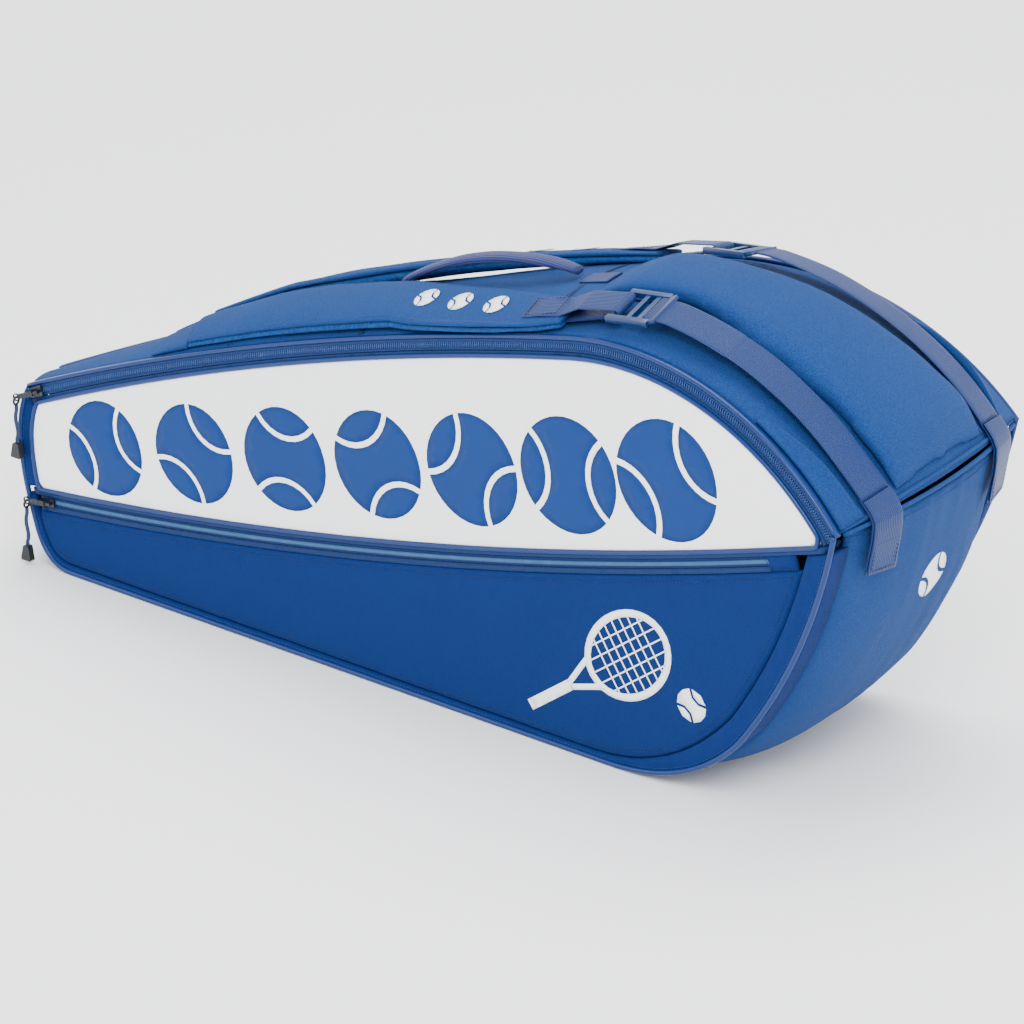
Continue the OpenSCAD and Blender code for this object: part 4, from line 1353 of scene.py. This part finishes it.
def inflatePad(piece, sizes):  # the cover fills out over its foam
    remesh = piece.modifiers.new("evenCloth", "REMESH")
    remesh.mode = "VOXEL"
    remesh.voxel_size = sizes["voxel"]
    piece.data = bakedMesh(piece)
    piece.modifiers.clear()
    before = np.array([v.co for v in piece.data.vertices], float)
    cloth = piece.modifiers.new("fill", "CLOTH")
    cloth.settings.use_pressure = True
    cloth.settings.uniform_pressure_force = sizes["pressure"]
    cloth.settings.effector_weights.gravity = 0
    for step in range(sizes["steps"]):
        scene.frame_set(step + 1)
    filled = bakedMesh(piece)
    piece.modifiers.clear()
    scene.frame_set(1)
    after = np.array([v.co for v in filled.vertices], float)
    edges = np.array([e.vertices for e in filled.edges])
    shift = calmed(after - before, edges, sizes["calm"])
    reach = np.linalg.norm(shift, axis=1)[:, None]
    after = calmed(before, edges, 2) + shift * np.minimum(1, sizes["cap"] / np.maximum(reach, 1e-9))
    filled.vertices.foreach_set("co", after.astype(np.float32).ravel())
    filled.update()
    piece.data = filled
    smooth = piece.modifiers.new("smoothCloth", "SUBSURF")
    smooth.levels = 1
    smooth.render_levels = 1
    piece.data = bakedMesh(piece)
    piece.modifiers.clear()
    shadeSmooth(piece.data)


def buildTopPad():
    pad = onTop("top_pad_cloth", padSizes["start"], padSizes["stop"], 70, padSection, melange, 72, 4.5)
    inflatePad(pad, padSizes)
    if not pad.data.materials:
        pad.data.materials.append(melange)
    crumple(pad, 0.5 * mm, 24, 8)
    settle(pad, "bag", ["top_pad"])
    welts = []
    for edge in (-1, 1):
        rings = []
        for s in np.linspace(padSizes["start"] + 6 * mm, padSizes["stop"] - 2 * mm, 90):
            centre = topPoint(s, edge * (padHalf(s) + 0.4 * mm), 1.4 * mm)
            rim = edge * padHalf(s)
            up = (topPoint(s, rim, 6 * mm) - topPoint(s, rim, 1 * mm)).normalized()
            rings.append(roundRing(centre, 1.1 * mm, Vector((0, 1, 0)), up, 10))
        welts.append(tubeOfRings("padWelt", rings, pipingCoat))
    settle(joinPieces("top_pad_welts", welts), "bag", [])


buildTopPad()


def crossSeam(name, s, low, high, lift, finish, radius=0.75 * mm):  # a welt that runs across the top
    rings = []
    for y in np.linspace(low, high, 50):
        centre = topPoint(s, y, lift)
        up = (topPoint(s, y, lift + 5 * mm) - centre).normalized()
        rings.append(roundRing(centre, radius, Vector((up.z, 0, -up.x)), up, 8))
    return tubeOfRings(name, rings, finish)


def buildTopSeams():
    welts, places = [], []
    for s in (215 * mm, 349 * mm, 519 * mm):
        reach = halfAt(overTrail.at(s)[0]) - 3 * mm
        welts.append(crossSeam("welt", s, -reach, reach, 0.1 * mm, threadDark))
        ys = np.linspace(-reach, reach, 60)
        for shift in (-2.2 * mm, 2.2 * mm):
            places += alongRun(*topRun([s + shift] * 60, ys, 0.15 * mm), 3.6 * mm)
    settle(joinPieces("top_seams", welts), "bag", [])
    headSeam = []
    for shift in (-2.4 * mm, 0.6 * mm):
        reach = halfAt(zipEnd[0]) - 4 * mm
        headSeam.append(crossSeam("headWelt", seamAt + shift, -reach, reach, 0.3 * mm, melange, 1.7 * mm))
    settle(joinPieces("head_seam_welt", headSeam), "bag", ["head_seam"])
    ys = np.linspace(-halfAt(zipEnd[0]) + 6 * mm, halfAt(zipEnd[0]) - 6 * mm, 60)
    places += alongRun(*topRun([seamAt + 4 * mm] * 60, ys, 0.3 * mm), 3.6 * mm)
    setRow("seam_stitches", places, stitchShape, threadDark, "bag", 1.0, 0.06, 6)


buildTopSeams()
print("top padded")

# shoulder straps
strapSizes = {"start": 172 * mm, "stop": seamAt - 282 * mm, "wide": 50 * mm, "thick": 10 * mm,
              "apart": 5 * mm, "lift": {"front": 1 * mm, "rear": 5 * mm}, "barUp": 10 * mm,
              "droop": {"front": 0.0, "rear": -0.3}, "root": 40 * mm}


def strapAt(k):
    return strapSizes["start"] + (strapSizes["stop"] - strapSizes["start"]) * k


def strapEdges(s, narrow):  # distances from the middle: inner, outer
    half = halfAt(overTrail.at(s)[0])
    wide = min(strapSizes["wide"] * narrow, half - 2 * mm - strapSizes["apart"] / 2)
    share = max(0, min(1, (s - 380 * mm) / (150 * mm)))
    middle = (half - 2 * mm - wide / 2) * (1 - share) + webSizes["barAcross"] * share
    return middle - wide / 2, middle + wide / 2


def strapNarrow(k):
    if k < 0.35:
        return 0.66 + 0.34 * math.sin(math.pi / 2 * k / 0.35)
    if k > 0.8:
        return 1 - 0.34 * (k - 0.8) / 0.2
    return 1


def strapSection(sideName, k, floorShare, topShare, trim):
    inner, outer = strapEdges(strapAt(k), strapNarrow(k))
    bow = 1.2 * mm + strapSizes["lift"][sideName] * math.sin(math.pi * k)
    thick = strapSizes["thick"] * (0.7 + 0.3 * math.sin(math.pi * k))
    low, high = inner + trim, outer - trim
    if sides[sideName] < 0:
        low, high = -high, -low
    return low, high, bow + floorShare * thick, bow + topShare * thick


def strapTopLift(sideName, k):
    return strapSection(sideName, k, 0, 1, 0)[3]


def buildStrap(sideName):
    side = sides[sideName]
    body = sideName + "_strap"
    start = strapSizes["start"]
    ends = (start + 0.5 * mm, strapSizes["stop"] - 0.5 * mm)
    upper = onTop(sideName + "_strap_cloth", *ends, 110,
                  lambda k: strapSection(sideName, k, 0.42, 1.0, 0.8 * mm), melange, 44, 3.2)
    crumple(upper, 0.6 * mm, 28, 4 + side)
    settle(upper, body, [sideName + "_strap_pad"])
    droop = strapSizes["droop"][sideName]
    lower = onTop(sideName + "_strap_mesh", *ends, 110,
                  lambda k: strapSection(sideName, k, droop, 0.58, 0), edgeMesh, 40, 3.0)
    crumple(lower, 0.5 * mm, 34, 9 + side)
    settle(lower, body, [])
    root = onTop(sideName + "_strap_root_cloth", start - strapSizes["root"], start - 0.6 * mm, 14,
                 lambda k: rootSection(sideName, k), melange, 30, 4)
    crumple(root, 0.3 * mm, 60, 2)
    settle(root, "bag", [sideName + "_strap_root"])
    places = []
    for edge in (0, 1):
        points, ups = [], []
        for k in np.linspace(0.02, 0.98, 90):
            section = strapSection(sideName, k, 0, 1, 3.2 * mm)
            s = strapAt(k)
            y = section[edge]
            points.append(topPoint(s, y, section[3] - 0.9 * mm))
            ups.append(topPoint(s, y, section[3] + 9 * mm) - topPoint(s, y, section[3]))
        places += alongRun(points, [u.normalized() for u in ups], 3.6 * mm)
    setRow(sideName + "_strap_stitches", places, stitchShape, threadBlue, body, 1.0, 0.06, 7)


def rootSection(sideName, k):
    s = strapSizes["start"] - strapSizes["root"] * (1 - k)
    inner, outer = strapEdges(s, 0.55 + 0.1 * k)
    if sides[sideName] < 0:
        inner, outer = -outer, -inner
    return inner, outer, 0.35 * mm, (2 + 4 * k) * mm


for sideName in sides:
    buildStrap(sideName)
print("straps padded")

# strap webbing, loops and buckles
def webRibbon(name, sideName, stations, wide, thick):  # each station is a distance, an across and a lift
    side = sides[sideName]
    centres = [topPoint(s, side * y, h) for s, y, h in stations]
    rings = []
    for i, centre in enumerate(centres):
        ahead = (centres[min(i + 1, len(centres) - 1)] - centres[max(i - 1, 0)]).normalized()
        s, y, h = stations[i]
        slope = (topPoint(s, side * (y + 5 * mm), h) - topPoint(s, side * (y - 5 * mm), h)).normalized()
        up = ahead.cross(slope).normalized()
        if up.z < 0 and s < seamAt * 0.9 and i < len(centres) * 0.3:
            up = -up
        ring = []
        for j in range(20):
            angle = 2 * math.pi * j / 20
            c, d = math.cos(angle), math.sin(angle)
            ring.append(centre + slope * wide / 2 * math.copysign(abs(c) ** 0.35, c)
                        + up * thick / 2 * math.copysign(abs(d) ** 0.8, d))
        rings.append(ring)
    return tubeOfRings(name, rings, webCloth)


def webLevel(k):
    return (13 * (1 - k) + 2.9 * k) * mm


def buildWebbing(sideName):
    side = sides[sideName]
    bar = webSizes["bar"]
    tabStart = webSizes["tabEnd"] - webSizes["tab"]
    stations = [(bar + 24 * mm, leanAt(bar), 12.5 * mm), (bar + 33 * mm, leanAt(bar + 33 * mm), 13.5 * mm)]
    for k in np.linspace(0, 1, 44):
        s = bar + 42 * mm + (tabStart - bar - 42 * mm) * k
        stations.append((s, leanAt(s), webLevel(k) + 1 * mm))
    web = webRibbon(sideName + "_webbing_run", sideName, stations, webSizes["wide"] - 1 * mm,
                    webSizes["thick"])
    crumple(web, 0.5 * mm, 26, 5 + side)
    topPoint(tabStart - 10 * mm, side * 80 * mm, 3 * mm)
    topPoint(bar + 30 * mm, side * 68 * mm, 12 * mm)
    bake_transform(web)
    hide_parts(sideName + "_webbing")
    layers = []
    for lift, first, last in ((3.4 * mm, tabStart - 4 * mm, webSizes["tabEnd"]),
                              (5.5 * mm, tabStart, webSizes["tabEnd"] - 0.5 * mm)):
        stations = [(s, leanAt(s), lift + 0.25 * mm * math.sin(s * 190)) for s in np.linspace(first, last, 18)]
        layers.append(webRibbon("tabLayer", sideName, stations, webSizes["wide"], webSizes["thick"]))
    settle(joinPieces(sideName + "_web_tab", layers), "bag", [sideName + "_webbing"])
    places = []
    half = webSizes["wide"] / 2 - 3 * mm
    first, last = tabStart + 22 * mm, webSizes["tabEnd"] - 3 * mm
    for y in (-half, half):
        ss = np.linspace(first, last, 12)
        places += alongRun(*topRun(ss, [side * (80 * mm + y)] * 12, 6.6 * mm), 3.2 * mm)
    for s in (first, last):
        ys = np.linspace(80 * mm - half, 80 * mm + half, 12)
        places += alongRun(*topRun([s] * 12, side * ys, 6.6 * mm), 3.2 * mm)
    setRow(sideName + "_tab_stitches", places, stitchShape, threadDark, "bag", 1.0, 0.05, 9)


def buildLoop(sideName):  # the pad's end piece that folds round the buckle's bar
    side = sides[sideName]
    bar = webSizes["bar"]
    up = strapSizes["barUp"]
    radius = 3.3 * mm
    padEnd = strapSizes["stop"]
    lid = strapTopLift(sideName, 0.93)
    run = [(padEnd - 36 * mm, lid + 0.4 * mm), (padEnd - 20 * mm, lid + 0.6 * mm),
           (padEnd - 4 * mm, lid * 0.95), (padEnd + 14 * mm, up + 3.2 * mm)]
    run += [(bar + radius * math.sin(a), up + radius * math.cos(a)) for a in np.linspace(-0.2, math.pi, 10)]
    run += [(bar - 12 * mm, 6.0 * mm), (padEnd + 1 * mm, 4.0 * mm)]
    stations = [(s, webSizes["barAcross"], lift) for s, lift in run]
    loop = webRibbon(sideName + "_loop_webbing", sideName, stations, 25.6 * mm, 1.5 * mm)
    settle(loop, sideName + "_strap", [sideName + "_strap_loop"])
    places = []
    for s in (padEnd - 34 * mm, padEnd - 7 * mm):
        ys = np.linspace(56 * mm, 76 * mm, 10)
        places += alongRun(*topRun([s] * 10, side * ys, lid + 1.35 * mm), 3.2 * mm)
    for y in (56 * mm, 76 * mm):
        ss = np.linspace(padEnd - 34 * mm, padEnd - 7 * mm, 10)
        places += alongRun(*topRun(ss, [side * y] * 10, lid + 1.3 * mm), 3.2 * mm)
    setRow(sideName + "_loop_stitches", places, stitchShape, threadDark, sideName + "_strap",
           1.0, 0.05, 10)


def repaint(piece, finish):
    piece.data.materials.clear()
    piece.data.materials.append(finish)


def roundedCopy(node, name, width, finish, segments):  # a moulded part with softened edges
    work = bmesh.new()
    work.from_mesh(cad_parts[node].data)
    bmesh.ops.remove_doubles(work, verts=work.verts, dist=2e-6)
    bmesh.ops.dissolve_limit(work, angle_limit=math.radians(3), verts=work.verts, edges=work.edges)
    mesh = bpy.data.meshes.new(name)
    work.to_mesh(mesh)
    work.free()
    piece = bpy.data.objects.new(name, mesh)
    scene.collection.objects.link(piece)
    bevel = piece.modifiers.new("softEdges", "BEVEL")
    bevel.width = width
    bevel.segments = segments
    bevel.limit_method = "ANGLE"
    bevel.angle_limit = math.radians(35)
    piece.data = bakedMesh(piece)
    piece.modifiers.clear()
    repaint(piece, finish)
    shadeSmooth(piece.data)
    piece.data.set_sharp_from_angle(angle=math.radians(50))
    return piece


for sideName in sides:
    buildWebbing(sideName)
    buildLoop(sideName)
    buckle = roundedCopy(sideName + "_buckle", sideName + "_ladder_buckle", 0.9 * mm, buckleResin, 3)
    settle(buckle, sideName + "_buckle", [sideName + "_buckle"])
print("webbing threaded")

# small hardware keeps its own shape
for sideName in sides:
    for which in ("main", "pocket"):
        for part, finish in (("slider", darkMetal), ("pull", pullRubber)):
            repaint(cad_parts[sideName + "_" + which + "_" + part], finish)
repaint(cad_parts["bottom_board"], boardResin)


# gores beside the webbing
def buildGore(sideName):
    side = sides[sideName]
    first, last = seamAt - 100 * mm, seamAt - 3 * mm
    outer, inner = [], []
    for k in np.linspace(0, 1, 26):
        s = first + (last - first) * k
        half = halfAt(overTrail.at(s)[0])
        low = half - 1 * mm
        high = (half - 6 * mm) * (1 - k) + (webSizes["across"] + 17 * mm) * k
        over, under = [], []
        for t in np.linspace(0, 1, 10):
            y = low + (high - low) * t
            lift = 0.4 * mm + (1.5 + 5.5 * math.sin(math.pi * min(1, k * 1.1)) * t ** 1.6) * mm
            lift += 0.4 * mm * waveAt(s * 60, y * 60, side)
            over.append(topPoint(s, side * y, lift + 1 * mm))
            under.append(topPoint(s, side * y, 0.3 * mm))
        outer.append(over)
        inner.append(under)
    piece = slabOfGrids(sideName + "_gore_cloth", outer, inner, melange)
    settle(piece, "bag", [sideName + "_gore"])


for sideName in sides:
    buildGore(sideName)


# printed decoration: balls and a racket
printSizes = {"balls": 7, "first": -298 * mm, "last": 240 * mm, "lift": 0.2 * mm, "sink": 0.4 * mm,
              "seamWide": 4.2 * mm}
# the racket: its middle, tilt and half sizes, in millimetres
racketSizes = {"centre": np.array([205, 92]) * mm, "tilt": 0.62, "long": 43, "wide": 33, "string": 1.1}


def circlePoints(centre, radius, first, last, count):
    return [(centre[0] + radius * math.cos(a), centre[1] + radius * math.sin(a))
            for a in np.linspace(first, last, count)]


def ballOutlines(radius, gap):  # a ball as three inked fields with its two seams left open
    offset, bend = 1.28 * radius, 0.86 * radius

    def crossing(reach):  # where a seam's circle meets the ball's outline, as an angle from each centre
        x = (radius ** 2 - reach ** 2 + offset ** 2) / (2 * offset)
        y = math.sqrt(radius ** 2 - x ** 2)
        return math.atan2(y, x), math.atan2(y, offset - x)

    reach = bend - gap / 2
    edge, turn = crossing(reach)
    right = circlePoints((0, 0), radius, -edge, edge, 24)[:-1]
    right += circlePoints((offset, 0), reach, math.pi - turn, math.pi + turn, 24)[:-1]
    reach = bend + gap / 2
    edge, turn = crossing(reach)
    middle = circlePoints((0, 0), radius, edge, math.pi - edge, 24)[:-1]
    middle += circlePoints((-offset, 0), reach, turn, -turn, 24)[:-1]
    middle += circlePoints((0, 0), radius, math.pi + edge, 2 * math.pi - edge, 24)[:-1]
    middle += circlePoints((offset, 0), reach, math.pi + turn, math.pi - turn, 24)[:-1]
    return [np.array(right), np.array(right) * [-1, 1], np.array(middle)]


def turned(points, angle, centre):
    c, s = math.cos(angle), math.sin(angle)
    return points @ np.array([[c, s], [-s, c]]) + np.array(centre)


def inked(sideName, loops, outline, surface, step=7 * mm):
    plane = sidePlane(sideName)

    def face(points, depth):
        onto, _ = depthInside(outline, points)
        return surface(points, onto) + printSizes["lift"]

    def back(points, depth):
        onto, _ = depthInside(outline, points)
        return surface(points, onto) - printSizes["sink"]
    return sewnPanel(loops, plane, step, face, back, ())


def buildPrints(sideName):
    parts = []
    for index in range(printSizes["balls"]):
        share = index / (printSizes["balls"] - 1)
        along = printSizes["first"] + (printSizes["last"] - printSizes["first"]) * share
        centre = (along, (114 + 122 * share) * mm)
        radius = (37 + 8.5 * share) * mm
        for field in ballOutlines(radius, printSizes["seamWide"] * (0.9 + 0.3 * share)):
            loop = turned(field, 0.5 + 0.55 * index, centre)
            parts.append(inked(sideName, [loop], outlines[sideName]["flap"], flapSurface))
    balls = joinParts(sideName + "_ball_print", parts, inkBlue)
    settle(balls, sideName + "_flap", [])
    parts = []
    tilt, centre, long, wide = [racketSizes[key] for key in ("tilt", "centre", "long", "wide")]
    outline = outlines[sideName]["pocket"]
    oval = np.array([(long * mm * math.cos(t), wide * mm * math.sin(t))
                     for t in np.linspace(0, 2 * math.pi, 60, endpoint=False)])
    rims = [turned(oval, tilt, centre), turned(oval[::-1] * [0.87, 0.83], tilt, centre)]
    parts.append(inked(sideName, rims, outline, pocketSurface))
    strokes = []
    for offset in np.arange(-24, 25, 8):
        reach = 0.86 * wide * math.sqrt(max(0, 1 - (offset / 38) ** 2))
        strokes.append(((offset, -reach), (offset, reach), racketSizes["string"]))
    for offset in np.arange(-18, 19, 9):
        reach = 0.88 * long * math.sqrt(max(0, 1 - (offset / 29) ** 2))
        strokes.append(((-reach, offset), (reach, offset), racketSizes["string"]))
    strokes += [((-39, 11), (-66, 1.5), 4.5), ((-39, -11), (-66, -1.5), 4.5), ((-64, 0), (-112, 0), 8.5)]
    parts += [inkedStroke(sideName, *stroke) for stroke in strokes]
    for field in ballOutlines(13 * mm, 2.4 * mm):
        loop = turned(field, 0.9, centre + np.array([58, -22]) * mm)
        parts.append(inked(sideName, [loop], outline, pocketSurface))
    racket = joinParts(sideName + "_racket_print", parts, inkWhite)
    settle(racket, sideName + "_pocket", [])


def inkedStroke(sideName, first, last, wide):  # in millimetres, on the racket's own axes
    first, last = np.array(first, float), np.array(last, float)
    ahead = (last - first) / np.linalg.norm(last - first)
    side = np.array([-ahead[1], ahead[0]]) * wide / 2
    corners = np.array([first - side, last - side, last + side, first + side]) * mm
    loop = turned(corners, racketSizes["tilt"], racketSizes["centre"])
    return inked(sideName, [loop], outlines[sideName]["pocket"], pocketSurface, 5 * mm)


for sideName in sides:
    buildPrints(sideName)


def printOnSurface(place, field, angle, lift):  # place gives a point from sideways, upwards and outwards
    loops = [turned(field, angle, (0, 0))]
    return sewnPanel(loops, (None, place), 5 * mm, level(lift), level(lift - 0.6 * mm), ())


def buildSmallPrints():
    for sideName in sides:
        side = sides[sideName]
        parts = []
        for distance in (405 * mm, 440 * mm, 475 * mm):
            k = (distance - strapSizes["start"]) / (strapSizes["stop"] - strapSizes["start"])
            low, high, _, lid = strapSection(sideName, k, 0, 1, 0)

            def onStrap(a, b, n, s=distance, y=(low + high) / 2, h=lid):
                return topPoint(s + a, y + b, h + n)
            for field in ballOutlines(10 * mm, 1.8 * mm):
                parts.append(printOnSurface(onStrap, field, 0.4, 0.9 * mm))
        balls = joinParts(sideName + "_strap_print", parts, inkWhite)
        settle(balls, sideName + "_strap", [])
    parts = []

    def onHead(a, b, n):
        s = seamAt + 72 * mm - b
        y = 8 * mm + a
        half = halfAt(overTrail.at(s)[0], lowEdge)
        return skinPoint(overTrail, s, y, headWrinkle(s, y, half) + n, crownAt(s), lowEdge)
    for field in ballOutlines(17 * mm, 3 * mm):
        parts.append(printOnSurface(onHead, field, 0.6, 0.35 * mm))
    settle(joinParts("head_ball_print", parts, inkWhite), "bag", [])


buildSmallPrints()
print("prints inked")

# panel stitching
def buildPanelStitches(sideName):
    rim = evenLoop(insideOf(outlines[sideName]["pocket"][0]), 4 * mm)
    line = shiftLine(closedLine(rim), 5.2 * mm)
    depth, _ = depthInside(outlines[sideName]["pocket"], line)
    outs = pocketSurface(line, depth)
    side = sides[sideName]
    points = [onPanel(side, p[0], p[1], n) for p, n in zip(line, outs)]
    places = alongRun(points, [panelOut(side)] * len(points), 3.4 * mm)
    setRow(sideName + "_pocket_stitches", places, stitchShape, threadDark, sideName + "_pocket",
           1.0, 0.06, 11)
    places = []
    line = shiftLine(evenLine(rimLine, 4 * mm), 5.4 * mm)
    depth, inside = depthInside(outlines[sideName]["border"], line)
    for run in np.split(np.arange(len(line)), np.where(np.diff(inside.astype(int)) != 0)[0] + 1):
        if len(run) < 3 or not inside[run[0]]:
            continue
        outs = borderSurface(line[run], depth[run])
        points = [onPanel(side, p[0], p[1], n) for p, n in zip(line[run], outs) if p[1] > 1 * mm]
        places += alongRun(points, [panelOut(side)] * len(points), 3.4 * mm)
    for depthAt, out in ((2.6 * mm, -1.2 * mm), (9.3 * mm, -1.2 * mm)):
        line = shiftLine(evenLine(zipLine(), 4 * mm), depthAt)
        places += alongRun(*panelRun(sideName, line, out), 3.2 * mm)
    setRow(sideName + "_border_stitches", places, stitchShape, threadBlue, "bag",
           0.9, 0.05, 12)


for sideName in sides:
    buildPanelStitches(sideName)
print("panels stitched")

for shape in (stitchShape, toothShape, smallToothShape):
    bpy.data.objects.remove(shape)
